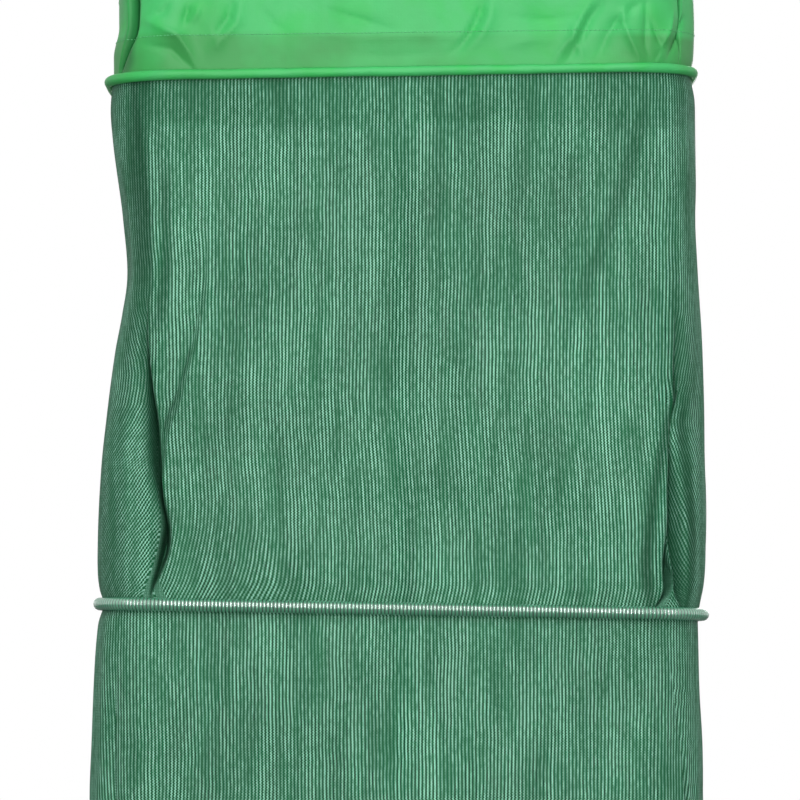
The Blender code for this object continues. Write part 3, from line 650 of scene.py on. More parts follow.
def hanging(seed, **edges):
    """How a sleeve hangs that the photograph doesn't show: seeded leaning pleats, deep by the
    corners and shallow between them, each with a strip beside it of painted shade where it lies
    close or of painted light where it stands out."""
    rng = np.random.default_rng(seed)
    pleats, bands = [], []
    for place, deepest in ((-0.61, 0.020), (-0.42, 0.009), (-0.225, 0.021), (-0.09, 0.005),
                           (0.11, 0.006), (0.215, 0.022), (0.41, 0.010), (0.60, 0.020)):
        lean = rng.normal(0, 0.012, 3)
        path = [(at, place + off) for at, off in zip((0, 0.5, 1), lean)]
        most, peak = deepest * rng.uniform(0.6, 1.1), rng.uniform(0.5, 0.8)
        depth = [(0, 0.0), (peak - 0.35, 0.25 * most), (peak, most), (0.93, 0.5 * most), (1, 0.0)]
        pleats.append((path, depth, rng.uniform(0.2, 0.5)))
        aside = [(at, spot + rng.choice((-1, 1)) * 0.026) for at, spot in path]
        bands.append((aside, 0.011, [(0, 0), (0.5, rng.uniform(-0.4, 0.35)), (1, 0)]))
    bulge = ((0, 0), (0.25, -0.001), (0.5, 0.0), (0.8, 0.004), (0.94, 0.003), (1, 0))
    return {"seed": seed, "fold": 1.7, "bulge": bulge, "pleats": pleats, "bands": bands, **edges}


# How each sleeve hangs. Distances are in metres: pleats are a path, as the distance round from the
# front middle at each share of the height, and a depth. Bands are a path, a width and how close
# the cloth lies there, painted as shade, negative where it stands out, painted as light
LEFT_LIP = (
    (0.41, -0.2225), (0.58, -0.2117), (0.65, -0.2065), (0.74, -0.2016), (0.80, -0.1952),
    (0.86, -0.1903), (0.90, -0.192), (0.98, -0.2033), (1, -0.206))
RIGHT_LIP = (
    (0, 0.225), (0.4, 0.226), (0.6, 0.223), (0.65, 0.2166), (0.71, 0.210), (0.78, 0.2039),
    (0.86, 0.1996), (0.91, 0.1972), (0.98, 0.2013), (1, 0.202))
RIGHT_EDGE = (
    (0, 0.235), (0.6, 0.236), (0.65, 0.2303), (0.73, 0.2343), (0.80, 0.2365), (0.86, 0.2392),
    (0.93, 0.2394), (1, 0.2365))
SLEEVES = (
    {
        "seed": 11, "fold": 0.8,
        "left": ((0, 0), (0.05, 0.001), (0.11, -0.001), (0.26, -0.009), (0.37, -0.014),
                 (0.45, -0.010), (0.52, -0.005), (0.63, 0.0), (0.74, 0.003), (0.9, 0.004),
                 (0.97, 0.003), (1, 0.0)),
        "right": ((0, 0), (0.06, 0.006), (0.19, 0.006), (0.30, 0.004), (0.37, 0.004),
                  (0.52, 0.005), (0.74, 0.005), (0.9, 0.004), (1, 0.0)),
        "bulge": ((0, 0), (0.25, -0.001), (0.5, 0.001), (0.8, 0.004), (0.94, 0.003), (1, 0)),
        "pleats": (
            (((0, -0.232), (0.08, -0.2285), (0.24, -0.2245), *LEFT_LIP),
             ((0, 0.0), (0.38, 0.0), (0.48, 0.006), (0.6, 0.019), (0.7, 0.026), (0.88, 0.024),
              (0.96, 0.010), (1, 0.0))),
            (((0, -0.160), (0.6, -0.1693), (0.67, -0.1741), (0.74, -0.1774), (0.82, -0.183),
              (0.9, -0.187), (1, -0.190)),
             ((0, 0.0), (0.3, 0.002), (0.5, 0.005), (0.7, 0.007), (0.82, 0.006), (0.92, 0.0),
              (1, 0.0)), 0.5),
            (RIGHT_LIP,
             ((0, 0.0), (0.4, 0.0), (0.55, 0.008), (0.7, 0.022), (0.86, 0.026), (0.95, 0.016),
              (1, 0.0))),
            (RIGHT_EDGE,
             ((0, 0.0), (0.55, 0.0), (0.66, 0.010), (0.75, 0.022), (0.86, 0.032), (0.95, 0.026),
              (1, 0.004))),
            (((0, 0.62), (0.5, 0.60), (1, 0.61)),
             ((0, 0.0), (0.4, 0.012), (0.8, 0.024), (1, 0.0))),
            (((0, -0.60), (0.5, -0.61), (1, -0.62)),
             ((0, 0.0), (0.4, 0.010), (0.8, 0.022), (1, 0.0))),
        ),
        "leans": (
            ((-0.46, -0.34, -0.214, -0.196),
             ((0, 0), (0.52, 0), (0.6, 0.008), (0.7, 0.04), (0.8, 0.08), (0.9, 0.105),
              (1, 0.11))),
            ((-0.195, -0.188, -0.16, -0.06), ((0, 0), (0.8, 0.0), (0.9, 0.006), (1, 0.018))),
            ((0.200, 0.213, 0.34, 0.46),
             ((0, 0), (0.56, 0), (0.64, -0.008), (0.75, -0.04), (0.85, -0.07), (0.93, -0.085),
              (1, -0.09))),
        ),
        # Painted shade along these strips, and painted light where the strength is negative
        "bands": (
            (((0, -0.228), (0.1, -0.224), (0.25, -0.222), *LEFT_LIP), 0.006,
             ((0, 0.9), (0.1, 1.0), (0.25, 0.9), (0.42, 0.6), (0.55, 0.7), (0.8, 0.7), (0.9, 0.6),
              (1, 0.2))),
            (((0, -0.2225), (0.4, -0.232), (1, -0.236)), 0.013,
             ((0, 0.75), (0.2, 0.8), (0.35, 0.7), (0.5, 0.25), (0.8, 0.2), (1, 0.3))),
            (((0, -0.209), (0.25, -0.2115), (0.4, -0.216)), 0.004,
             ((0, 0), (0.08, -0.3), (0.15, -0.9), (0.34, -0.8), (0.4, 0))),
            (((0, -0.198), (0.2, -0.200), (0.45, -0.2045)), 0.0055,
             ((0, 0), (0.14, 0.1), (0.22, 0.6), (0.42, 0.65), (0.5, 0))),
            (((0, 0.006), (1, 0.008)), 0.003, ((0, 0.3), (1, 0.25))),
            (((0, -0.172), (0.3, -0.178), (1, -0.178)), 0.010,
             ((0, 0), (0.1, -0.25), (0.3, -0.4), (0.85, -0.4), (0.97, -0.15), (1, 0))),
            (((0, 0.205), (0.5, 0.206), (1, 0.19)), 0.010,
             ((0, -0.1), (0.2, -0.25), (0.6, -0.2), (1, 0.0))),
            (((0, 0.205), (0.04, 0.2025), (0.19, 0.186), (0.33, 0.1644), (0.47, 0.140)), 0.0065,
             ((0, 0.2), (0.12, 0.5), (0.34, 0.5), (0.44, 0.15), (0.5, 0))),
            (((0, 0.250), (1, 0.246)), 0.012, ((0, 0.0), (0.5, 0.05), (1, 0.15))),
            (RIGHT_LIP, 0.0045, ((0, 0), (0.3, 0.3), (0.5, 0.7), (0.9, 0.9), (1, 0.6))),
            (RIGHT_EDGE, 0.006, ((0, 0), (0.5, 0), (0.65, 0.6), (0.8, 0.9), (1, 0.8))),
        ),
    },
    hanging(
        23,
        left=((0, 0), (0.04, 0.006), (0.15, 0.010), (0.26, 0.012), (0.34, 0.013), (0.55, 0.006),
              (0.8, 0.004), (1, 0)),
        right=((0, 0), (0.04, 0.001), (0.15, 0.003), (0.26, 0.006), (0.34, 0.007), (0.6, 0.005),
               (0.8, 0.004), (1, 0))),
    hanging(37, left=((0, 0), (0.3, -0.006), (0.8, 0.004), (1, 0)),
            right=((0, 0), (0.3, -0.003), (0.8, 0.005), (1, 0))),
    hanging(53, left=((0, 0), (0.3, -0.004), (0.8, 0.005), (1, 0)),
            right=((0, 0), (0.3, -0.007), (0.8, 0.004), (1, 0))),
)

COLLAR = {
    "seed": 71, "fold": 0.7,
    "left": ((0, 0), (0.5, -0.003), (0.7, -0.006), (0.82, -0.006), (0.92, -0.001), (1, -0.001)),
    "right": ((0, 0), (0.5, 0.0), (0.75, 0.001), (0.95, 0.002), (1, 0.0)),
    "bulge": ((0, 0), (0.3, 0.001), (0.7, 0.002), (1, 0)),
    "pleats": (
        (((0, -0.235), (0.6, -0.234), (0.78, -0.229), (0.86, -0.230), (1, -0.248)),
         ((0, 0.0), (0.3, 0.010), (0.7, 0.020), (0.85, 0.022), (0.96, 0.012), (1, 0.0)), 0.35),
        (((0, 0.225), (0.6, 0.232), (1, 0.235)),
         ((0, 0.0), (0.3, 0.006), (0.7, 0.010), (0.9, 0.006), (1, 0.0))),
    ),
    # Painted shade along the collar's left pleat
    "bands": (
        (((0, -0.235), (0.6, -0.234), (0.78, -0.2295), (0.86, -0.2315), (0.94, -0.2315),
          (1, -0.240)), 0.0075,
         ((0, 0.0), (0.4, 0.3), (0.7, 0.75), (0.9, 0.9), (0.98, 0.7), (1, 0.3))),
    ),
}

# Creases of the collar's front that the photograph shows: how far each stands out, negative for
# one that goes in, its width, and its line as mm to the right of the middle and above the hem
FRONT_CREASES = (
    (2.6, 6.0, ((-209, 43), (-196, 36), (-182, 29), (-172, 14), (-167, 2))),
    (-2.2, 5.0, ((-209, 22), (-199, 20), (-187, 18), (-178, 9), (-168, 1))),
    (-1.2, 2.5, ((-189, 55), (-194, 49), (-202, 45))),
    (-1.6, 2.5, ((-173, 54), (-176, 44), (-178, 38))),
    (1.2, 4.0, ((-164, 55), (-167, 46), (-172, 40))),
    (-1.5, 3.5, ((-138, 55), (-141, 43), (-152, 29))),
    (1.3, 5.0, ((-131, 55), (-134, 40), (-146, 26), (-158, 14))),
    (-0.8, 4.0, ((-112, 50), (-104, 38), (-96, 34))),
    (0.8, 5.0, ((-154, 34), (-150, 24), (-146, 14))),
    (-1.0, 4.0, ((-59, 50), (-35, 43), (-9, 35))),
    (0.7, 6.0, ((-70, 30), (-30, 27), (20, 29), (60, 26))),
    (-0.7, 5.0, ((-40, 14), (-10, 12), (30, 15))),
    (-2.2, 3.0, ((67, 57), (63, 43), (55, 29), (48, 20), (39, 14))),
    (1.2, 5.0, ((75, 56), (71, 40), (63, 26), (54, 17))),
    (0.9, 6.0, ((83, 20), (105, 26), (125, 25))),
    (-0.8, 5.0, ((90, 44), (120, 42), (140, 45))),
    (1.8, 4.0, ((155, 57), (147, 44), (141, 30), (128, 14), (124, 3))),
    (-2.4, 5.0, ((163, 55), (154, 44), (147, 28), (139, 14), (131, 2))),
    (1.5, 3.5, ((140, 38), (142, 26), (148, 12))),
    (-2.4, 7.0, ((196, 57), (178, 44), (168, 30), (160, 12))),
    (2.4, 5.0, ((180, 40), (183, 52))),
    (2.2, 4.0, ((181, 41), (186, 28), (193, 14), (197, 4))),
    (-2.0, 4.0, ((200, 57), (200, 40), (199, 22), (202, 10))),
    (-1.8, 3.0, ((204, 42), (209, 30), (213, 20), (207, 10))),
    (-2.6, 2.5, ((231, 46), (227, 30), (222, 20), (218, 13))),
    (2.0, 4.0, ((222, 50), (219, 34), (213, 22), (210, 8))),
)


def creases(share, down, around, height, seed, count):
    """Sharp creases of nylon in seeded directions, between about -1 and 1."""
    rng = np.random.default_rng(seed)
    along, drop = share * around, down * height
    total = np.zeros_like(along)
    for _ in range(count):
        mid = np.array([rng.uniform(-0.5, 0.5) * around, rng.uniform(0.05, 0.95) * height])
        angle = rng.normal() * 0.9 + math.pi / 2
        length = rng.uniform(0.02, 0.085)
        wide = rng.uniform(0.004, 0.014)
        a = wrapped((along - mid[0]) / around) * around
        b = drop - mid[1]
        run = a * math.cos(angle) + b * math.sin(angle)
        off = -a * math.sin(angle) + b * math.cos(angle) + 0.6 * run ** 2 / length
        fade = np.exp(-(run / length) ** 2)
        total += rng.choice((-1, 1)) * rng.uniform(0.3, 1) * fade * np.exp(-np.abs(off) / wide)
    return total


def drawn_creases(across, above, table):
    """How far the cloth stands out at each place because of creases along given lines."""
    total = np.zeros_like(across)
    for tall, wide, line in table:
        line = np.array(line, float) * MM
        lengths = np.hypot(*np.diff(line, axis=0).T)
        whole, before = lengths.sum(), 0.0
        nearest = np.full_like(across, 1.0)
        strength = np.zeros_like(across)
        for start, end, length in zip(line, line[1:], lengths):
            along = (across - start[0]) * (end[0] - start[0])
            along = (along + (above - start[1]) * (end[1] - start[1])) / length ** 2
            along = np.clip(along, 0, 1)
            away = np.hypot(across - start[0] - along * (end[0] - start[0]),
                            above - start[1] - along * (end[1] - start[1]))
            run = (before + along * length) / whole
            closer = away < nearest
            nearest = np.where(closer, away, nearest)
            strength = np.where(closer, np.sin(math.pi * (0.1 + 0.8 * run)), strength)
            before += length
        total += tall * MM * strength * np.exp(-nearest / (0.8 * wide * MM))
    return total


def ring_tube(path, outward, radii, sides):
    """Rows of points of a tube that follows a flat path, one row for each station."""
    angle = 2 * math.pi * np.arange(sides) / sides
    across, up = np.cos(angle)[None, :], np.sin(angle)[None, :]
    x = path[:, :1] + outward[:, :1] * across * radii
    y = path[:, 1:2] + outward[:, 1:2] * across * radii
    return np.stack([x, y, up * radii], axis=-1)


def rolled(points, facts):
    """Points of a hoop's own plane, once it hangs rolled at its level."""
    _, _, level, mid, roll = facts
    x, y, z = points[..., 0], points[..., 1], points[..., 2]
    return np.stack(
        [x * math.cos(roll) + z * math.sin(roll), y + mid,
         z * math.cos(roll) - x * math.sin(roll) + level], axis=-1)


def hoop_path(facts, gap, count):
    """Stations of an open hoop from one side of its rear middle round the front to the other,
    the outward directions there and their shares of a turn."""
    around = way_round(facts)
    share = np.linspace(-0.5 + gap / around, 0.5 - gap / around, count)
    x, y, out_x, out_y, _ = outline(*facts[:2], share)
    return np.stack([x, y], axis=-1), np.stack([out_x, out_y], axis=-1), share


def on_axis(axis, along, a, b):
    """A place at a distance along an axis and at two coordinates across it."""
    return Vector({"X": (along, a, b), "Y": (b, along, a), "Z": (a, b, along)}[axis])


def turned(profile, sides, axis="X", place=(0, 0, 0), radius_at=None):
    """A closed bmesh turned about an axis from (radius, distance along it) points in mm. One that
    starts and ends at no radius is solid, and any other closes on itself into a ring. radius_at
    gives the radius at an angle, for a profile that isn't round all the way."""
    shape = bmesh.new()
    rings = []
    for radius, along in profile:
        ring = []
        for step in range(sides):
            angle = 2 * math.pi * step / sides
            reach = MM * (radius_at(radius, along, angle) if radius_at else radius)
            spot = on_axis(axis, along * MM, reach * math.cos(angle), reach * math.sin(angle))
            ring.append(shape.verts.new(spot + Vector(place)))
        rings.append(ring)
    solid = profile[0][0] == 0
    for ring, other in zip(rings, rings[1:] if solid else rings[1:] + rings[:1]):
        for step in range(sides):
            after = (step + 1) % sides
            shape.faces.new((ring[step], ring[after], other[after], other[step]))
    bmesh.ops.remove_doubles(shape, verts=shape.verts, dist=1e-6)
    bmesh.ops.recalc_face_normals(shape, faces=shape.faces)
    return shape


def disc(radius, sides, middle=(0, 0), start=0.0, sweep=2 * math.pi):
    """Points in mm on a circle, or on an arc of it."""
    steps = sides if sweep >= 6.28 else sides + 1
    return [(middle[0] + radius * math.cos(start + sweep * k / sides),
             middle[1] + radius * math.sin(start + sweep * k / sides)) for k in range(steps)]


def prism(shape_line, low, high, axis="X", place=(0, 0, 0)):
    """A closed bmesh between two copies of an outline in mm, square to an axis. The outline gives
    Y and Z for the X axis, X and Z for Y, and X and Y for Z."""
    shape = bmesh.new()
    ends = []
    for along in (low, high):
        spots = [on_axis(axis, along, *((b, a) if axis == "Y" else (a, b)))
                 for a, b in shape_line]
        ends.append([shape.verts.new(spot * MM + Vector(place)) for spot in spots])
    shape.faces.new(ends[0])
    shape.faces.new(ends[1][::-1])
    for step in range(len(shape_line)):
        after = (step + 1) % len(shape_line)
        shape.faces.new((ends[0][step], ends[0][after], ends[1][after], ends[1][step]))
    bmesh.ops.recalc_face_normals(shape, faces=shape.faces)
    return shape


def smooth(mesh, limit):
    """Smooth shading, but for edges sharper than a limit in degrees."""
    mesh.shade_smooth()
    mesh.set_sharp_from_angle(angle=math.radians(limit))


def mesh_object(name, shape, finish):
    data = bpy.data.meshes.new(name)
    shape.to_mesh(data)
    shape.free()
    smooth(data, 35)
    data.materials.append(finish)
    return new_object(name, data)


def made_plain(piece, name):
    """The evaluated mesh of an object whose modifiers made it, as a new object."""
    graph = bpy.context.evaluated_depsgraph_get()
    data = bpy.data.meshes.new_from_object(piece.evaluated_get(graph), depsgraph=graph)
    data.name = name
    bpy.data.objects.remove(piece, do_unlink=True)
    return new_object(name, data)


def combined(name, finish, shape, *steps, soften=0.0):
    """A solid that others are joined to or cut from, in order, with its sharp edges taken off."""
    piece = mesh_object(name, shape, finish)
    tools = []
    for operation, other in steps:
        tool = mesh_object("tool", other, finish)
        change = piece.modifiers.new(operation.lower(), "BOOLEAN")
        change.operation, change.solver, change.object = operation, "EXACT", tool
        tools.append(tool)
    if soften:
        bevel = piece.modifiers.new("soft edges", "BEVEL")
        bevel.width, bevel.segments = soften * MM, 2
        bevel.limit_method, bevel.angle_limit = "ANGLE", math.radians(38)
    made = made_plain(piece, name)
    for tool in tools:
        bpy.data.objects.remove(tool, do_unlink=True)
    made.data.materials.clear()
    made.data.materials.append(finish)
    smooth(made.data, 40)
    return made


def ribbon(name, points, finish, thickness):
    """A strip of cloth of the given thickness from rows of points."""
    shape = bmesh.new()
    rows = [[shape.verts.new(point) for point in row] for row in points]
    for row, below in zip(rows, rows[1:]):
        for a, b, c, d in zip(row, below, below[1:], row[1:]):
            shape.faces.new((a, b, c, d))
    piece = mesh_object(name, shape, finish)
    thick = piece.modifiers.new("thickness", "SOLIDIFY")
    thick.thickness, thick.offset = thickness, 1.0
    return made_plain(piece, name)


def curve_object(name, *lines):
    data = bpy.data.curves.new(name, "CURVE")
    data.dimensions = "3D"
    data.twist_mode = "Z_UP"
    for line in lines:
        spline = data.splines.new("POLY")
        spline.points.add(len(line) - 1)
        spline.points.foreach_set("co", np.column_stack([line, np.ones(len(line))]).reshape(-1))
    return new_object(name, data)


def run_nodes(piece, lay_out, name, **values):
    """Gives an object a Geometry Nodes tree with these inputs, and makes the result plain. The
    first run builds the tree: lay_out adds its nodes to it and returns the last one."""
    kinds = {bpy.types.Object: "Object", bpy.types.Material: "Material"}
    tree = bpy.data.node_groups.get(lay_out.__name__)
    if tree is None:
        tree = bpy.data.node_groups.new(lay_out.__name__, "GeometryNodeTree")
        sockets = {key: kinds.get(type(value), "Float") for key, value in values.items()}
        for label, kind in {"Geometry": "Geometry", **sockets}.items():
            tree.interface.new_socket(label, in_out="INPUT", socket_type="NodeSocket" + kind)
        tree.interface.new_socket("Geometry", in_out="OUTPUT", socket_type="NodeSocketGeometry")
        add = functools.partial(add_node, tree)
        given = add("NodeGroupInput").outputs
        real = add("GeometryNodeRealizeInstances", lay_out(add, given))
        done = add("GeometryNodeSetMaterial", Geometry=real, Material=given["Finish"])
        add("NodeGroupOutput", done)
    change = piece.modifiers.new(name, "NODES")
    change.node_group = tree
    for item in tree.interface.items_tree:
        if item.in_out == "INPUT" and item.name in values:
            change[item.identifier] = values[item.name]
    return made_plain(piece, name)


def hoop_ribs(add, given):
    """Ribs along a curve: flat-topped rings with a narrow groove between each two."""
    length = add("GeometryNodeCurveLength", given["Geometry"])
    ribs = add("Math", length, given["Pitch"], operation="DIVIDE")
    ribs = add("Math", ribs, operation="ROUND")
    stations = add("Math", ribs, RIB_STEPS, 1.0, operation="MULTIPLY_ADD")
    path = add(
        "GeometryNodeResampleCurve", Curve=given["Geometry"], Count=stations, mode="COUNT")
    beat = add("Math", add("GeometryNodeInputIndex"), RIB_STEPS, operation="MODULO")
    groove = add("Math", beat, 1.5, operation="LESS_THAN")
    radius = add("Math", groove, given["Depth"], operation="MULTIPLY")
    radius = add("Math", given["Radius"], radius, operation="SUBTRACT")
    path = add(
        "GeometryNodeStoreNamedAttribute", Geometry=path, Name=GROOVE, Value=groove,
        data_type="FLOAT", domain="POINT")
    ring = add("GeometryNodeCurvePrimitiveCircle", Resolution=RIB_SIDES, Radius=1.0)
    return add(
        "GeometryNodeCurveToMesh", Curve=path, Profile_Curve=ring, Scale=radius, Fill_Caps=True)


def stitches(add, given):
    """Stitches along a curve: short raised threads, one after another with a small gap."""
    half = add("Math", given["Pitch"], STITCH_SHARE / 2, operation="MULTIPLY")
    size = add("CombineXYZ", given["Thread"], given["Thread"], half)
    bead = add("GeometryNodeMeshUVSphere", Segments=6, Rings=4, Radius=1.0)
    bead = add("GeometryNodeTransform", Geometry=bead, Scale=size)
    spots = add(
        "GeometryNodeCurveToPoints", Curve=given["Geometry"], Length=given["Pitch"], mode="LENGTH")
    turn = add(
        "FunctionNodeAlignRotationToVector", Vector=spots.outputs["Tangent"], axis="Z")
    return add("GeometryNodeInstanceOnPoints", Points=spots, Instance=bead, Rotation=turn)


def clamp_screws(add, given):
    """Copies of one screw at the points of a mesh, each turned a little further than the last."""
    screw = add("GeometryNodeObjectInfo", Object=given["Screw"]).outputs["Geometry"]
    turn = add("Math", add("GeometryNodeInputIndex"), SCREW_TURN, operation="MULTIPLY")
    turn = add("CombineXYZ", None, turn)
    return add(
        "GeometryNodeInstanceOnPoints", Points=given["Geometry"], Instance=screw, Rotation=turn)


def sewn(name, lines, sizes):
    """One mesh of stitches along several lines of points."""
    made = run_nodes(
        curve_object(name, *lines), stitches, name, Pitch=sizes.stitch_pitch,
        Thread=sizes.thread, Finish=material("spun polyester thread"))
    made.data.shade_smooth()
    return made


def carrier(node):
    """The body that carries a CAD node."""
    return next(body for body, names in frame["record"]["behaviour"]["bodies"].items()
                if node in names)


def finish_piece(piece, body, slot, *nodes):
    """Says what a new piece rides on and hides the CAD parts that it stands for; slot, its finish,
    is not used.
    """
    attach(piece, body)
    if nodes:
        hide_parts(*nodes)
    return piece


# Operators


class NET_OT_collar(bpy.types.Operator):
    """Makes the creased nylon collar and the hems round the mouth frame and the first hoop."""

    bl_idname = "keep_net.collar"
    bl_label = "Collar"

    def execute(self, context):
        sizes = context.scene.net_sizes
        upper, lower = hoop_facts(0), hoop_facts(1)
        rows, columns = COLLAR_ROWS, sizes.columns * 3 // 2
        insets = (MOUTH_HEM_RADIUS - CLOTH_SINK, HEM_RADIUS - CLOTH_SINK)
        character = dict(COLLAR, fold=sizes.fold_depth * COLLAR["fold"])
        points, tucked_shade = sleeve_points(upper, lower, insets, rows, columns, character)
        down = np.linspace(0, 1, rows + 1)[:, None]
        share = spread_shares(columns)[None, :] + 0 * down
        height = upper[2] - lower[2]
        around = way_round(lower)
        above = points[..., 2] - lower[2]
        front = np.clip((lower[3] - points[..., 1]) / 0.1, 0, 1)
        # Creases by chance are fainter low on the front, where those of the photograph are
        calm = 1 - 0.75 * front * np.clip(1 - (above - 0.05) / 0.02, 0, 1)
        push = sizes.crease_depth * creases(share, down, around, height, 5, 90) * calm
        push += FRONT_CREASE_GAIN * front * drawn_creases(points[..., 0], above, FRONT_CREASES)
        push *= np.sin(math.pi * down) ** 0.35
        _, _, out_x, out_y, _ = outline(*lower[:2], share)
        points[..., 0] += out_x * push
        points[..., 1] += out_y * push
        # The top edge drops behind the clamp
        notch = np.clip((NOTCH_HALF - np.abs(points[..., 0])) / NOTCH_EDGE, 0, 1)
        notch = notch * (points[..., 1] > lower[3])
        drop = (PIVOT_HEIGHT - CLAMP_SIDE) / height
        points[..., 2] = lower[2] + (points[..., 2] - lower[2]) * (1 - notch * drop)
        collar = grid_object("nylon_collar", points, material("woven nylon, doubled hem"))
        # Painted shade in the collar's pleats
        mark(collar, TUCKED_SHADE, np.clip(tucked_shade, 0, 1))
        finish_piece(collar, "mouth", "green_nylon", "collar")

        for number, radius, gap, node in (
                (0, MOUTH_HEM_RADIUS, CLAMP_SIDE + 0.3 * MM, "mouth_sleeve"),
                (1, HEM_RADIUS, 1.0 * MM, "hoop_1_sleeve")):
            facts = (upper, lower)[number]
            path, outward, turn = hoop_path(facts, gap, HEM_STATIONS)
            turn, angle = np.meshgrid(turn, np.arange(HEM_SIDES) / HEM_SIDES, indexing="ij")
            wrinkle = creases(turn, angle, around, 0.03, 9 + number, 130)
            radii = radius + 0.35 * MM * np.clip(wrinkle, -1, 1)
            tube = rolled(ring_tube(path, outward, radii, HEM_SIDES), facts)
            name = ("mouth_hem", "hoop_1_hem")[number]
            hem = grid_object(name, tube, material("woven nylon"))
            finish_piece(hem, HOOPS[number][1], "green_nylon", node)

        lines = []
        for level in (height - MOUTH_STITCHES, HEM_STITCHES):
            row = points[round((1 - level / height) * rows)].copy()
            row[:, 0] += out_x[0] * CLOTH_LIFT
            row[:, 1] += out_y[0] * CLOTH_LIFT
            # The upper row stops at either side of the clamp
            lines.append(row if lines else row[CLAMP_COLUMNS:1 - CLAMP_COLUMNS])
        rows_sewn = sewn("collar_stitches", lines, sizes)
        finish_piece(rows_sewn, "mouth", "green_nylon")
        for soft in (collar, rows_sewn):
            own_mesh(soft)
        return {"FINISHED"}


class NET_OT_sleeves(bpy.types.Operator):
    """Makes the four sleeves of knitted mesh, each with a taped seam behind."""

    bl_idname = "keep_net.sleeves"
    bl_label = "Mesh sleeves"

    def execute(self, context):
        sizes = context.scene.net_sizes
        for number, character in enumerate(SLEEVES, 1):
            upper, lower = hoop_facts(number), hoop_facts(number + 1)
            tube = HEM_RADIUS if number == 1 else COVER_RADIUS
            insets = (tube - CLOTH_SINK, COVER_RADIUS - CLOTH_SINK)
            character = dict(character, fold=sizes.fold_depth * character["fold"])
            points, tucked_shade = sleeve_points(
                upper, lower, insets, SLEEVE_ROWS, sizes.columns, character)
            if number == 1:
                # Painted shade: a darker band where the collar's edge inside the net, in shadow,
                # shows through
                down = np.linspace(0, 1, SLEEVE_ROWS + 1)[:, None]
                share = spread_shares(sizes.columns)[None, :]
                edge = 0.105 + 0.02 * soft_folds(share, down, 4, 6, 3, 12)
                tucked_shade = np.maximum(tucked_shade, 0.25 * np.clip((edge - down) / 0.012, 0, 1))
            around = way_round(lower)
            height = upper[2] - lower[2]
            knit = knit_places(points, around, height, sizes, character.get("leans", ()))
            sleeve = grid_object(
                f"mesh_sleeve_{number}", points, material("knitted polyester"), knit)
            # Painted shade in the pleats and bands, and painted light where the value is negative
            mark(sleeve, TUCKED_SHADE, np.clip(tucked_shade, -1, 1))

            columns = range(-SEAM_COLUMNS, SEAM_COLUMNS + 1)
            beside = np.take(points, columns, axis=1, mode="wrap") + (0, CLOTH_LIFT, 0)
            beside[0, :, 1] -= CLOTH_SINK
            tape = ribbon(
                f"mesh_seam_{number}", beside, material("polyester binding"),
                TAPE_THICKNESS)
            lines = [beside[2:-2, side] + (0, TAPE_THICKNESS, 0) for side in (1, -2)]
            rows_sewn = sewn(f"seam_stitches_{number}", lines, sizes)
            for piece in (sleeve, tape, rows_sewn):
                nodes = [f"mesh_section_{number}"] if piece == sleeve else []
                finish_piece(piece, HOOPS[number][1], "green_mesh", *nodes)
                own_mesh(piece)
        return {"FINISHED"}


class NET_OT_hoops(bpy.types.Operator):
    """Makes the ribbed tubing round the lower hoops."""

    bl_idname = "keep_net.hoops"
    bl_label = "Ribbed hoops"

    def execute(self, context):
        sizes = context.scene.net_sizes
        for number, (rod, body, _) in enumerate(HOOPS):
            if number < 2:
                continue
            facts = hoop_facts(number)
            path = hoop_path(facts, COVER_END, COVER_STATIONS)[0]
            flat = np.column_stack([path, np.zeros(len(path))])
            ribs = run_nodes(
                curve_object("rib path", rolled(flat, facts)), hoop_ribs,
                rod.replace("_rod", "_tubing"), Radius=COVER_RADIUS, Pitch=sizes.rib_pitch,
                Depth=sizes.rib_depth, Finish=material("extruded tubing"))
            ribs.data.shade_smooth()
            finish_piece(ribs, body, "green_tubing", rod.replace("_rod", "_cover"))
        return {"FINISHED"}


class NET_OT_base(bpy.types.Operator):
    """Makes the sagging mesh panel that closes the net, and the tape that binds it."""

    bl_idname = "keep_net.base"
    bl_label = "Base"

    def execute(self, context):
        sizes = context.scene.net_sizes
        facts = hoop_facts(5)
        size = facts[:2]
        inset = COVER_RADIUS - CLOTH_SINK
        share = (np.arange(BASE_COLUMNS) / BASE_COLUMNS - 0.5)[None, :]
        x, y, out_x, out_y, _ = outline(*size, share)
        x, y = x - out_x * inset, y - out_y * inset
        spread = np.linspace(1, 0.002, BASE_ROWS)[:, None]
        folds = soft_folds(share + 0 * spread, spread, 3, 7, 2, 9)
        sag = 0.0022 * np.sin(math.pi * spread) * folds - BASE_SAG * (1 - spread ** 2)
        points = np.stack([x * spread, y * spread, sag], axis=-1)
        knit = np.concatenate([points, points[:, :1]], axis=1)[..., :2]
        knit = knit / (sizes.wale_pitch, sizes.course_pitch)
        panel = grid_object(
            "base_net", rolled(points, facts), material("knitted polyester"), knit)
        finish_piece(panel, "base", "green_mesh", "base_panel")

        share = (np.arange(TAPE_COLUMNS) / TAPE_COLUMNS - 0.5)[None, :]
        x, y, out_x, out_y, _ = outline(*size, share)
        turn = np.linspace(0, 1, TAPE_ROWS)[:, None]
        off = inset + 1.1 * MM + 0.25 * MM * soft_folds(share + 0 * turn, turn, 8, 7, 12, 60)
        points = np.stack(
            [x - out_x * off, y - out_y * off, 0.3 * MM + 8.0 * MM * (1 - turn) + 0 * x], axis=-1)
        tape = grid_object("base_tape", rolled(points, facts), material("woven nylon"))
        tape.modifiers.new("thickness", "SOLIDIFY").thickness = 0.6 * MM
        finish_piece(tape, "base", "green_nylon", "base_binding")
        off = inset + 0.75 * MM
        line = np.stack([(x - out_x * off)[0], (y - out_y * off)[0], 0 * x[0] + 2.5 * MM], axis=-1)
        rows_sewn = sewn("base_stitches", [rolled(line, facts)], sizes)
        finish_piece(rows_sewn, "base", "green_nylon")
        return {"FINISHED"}


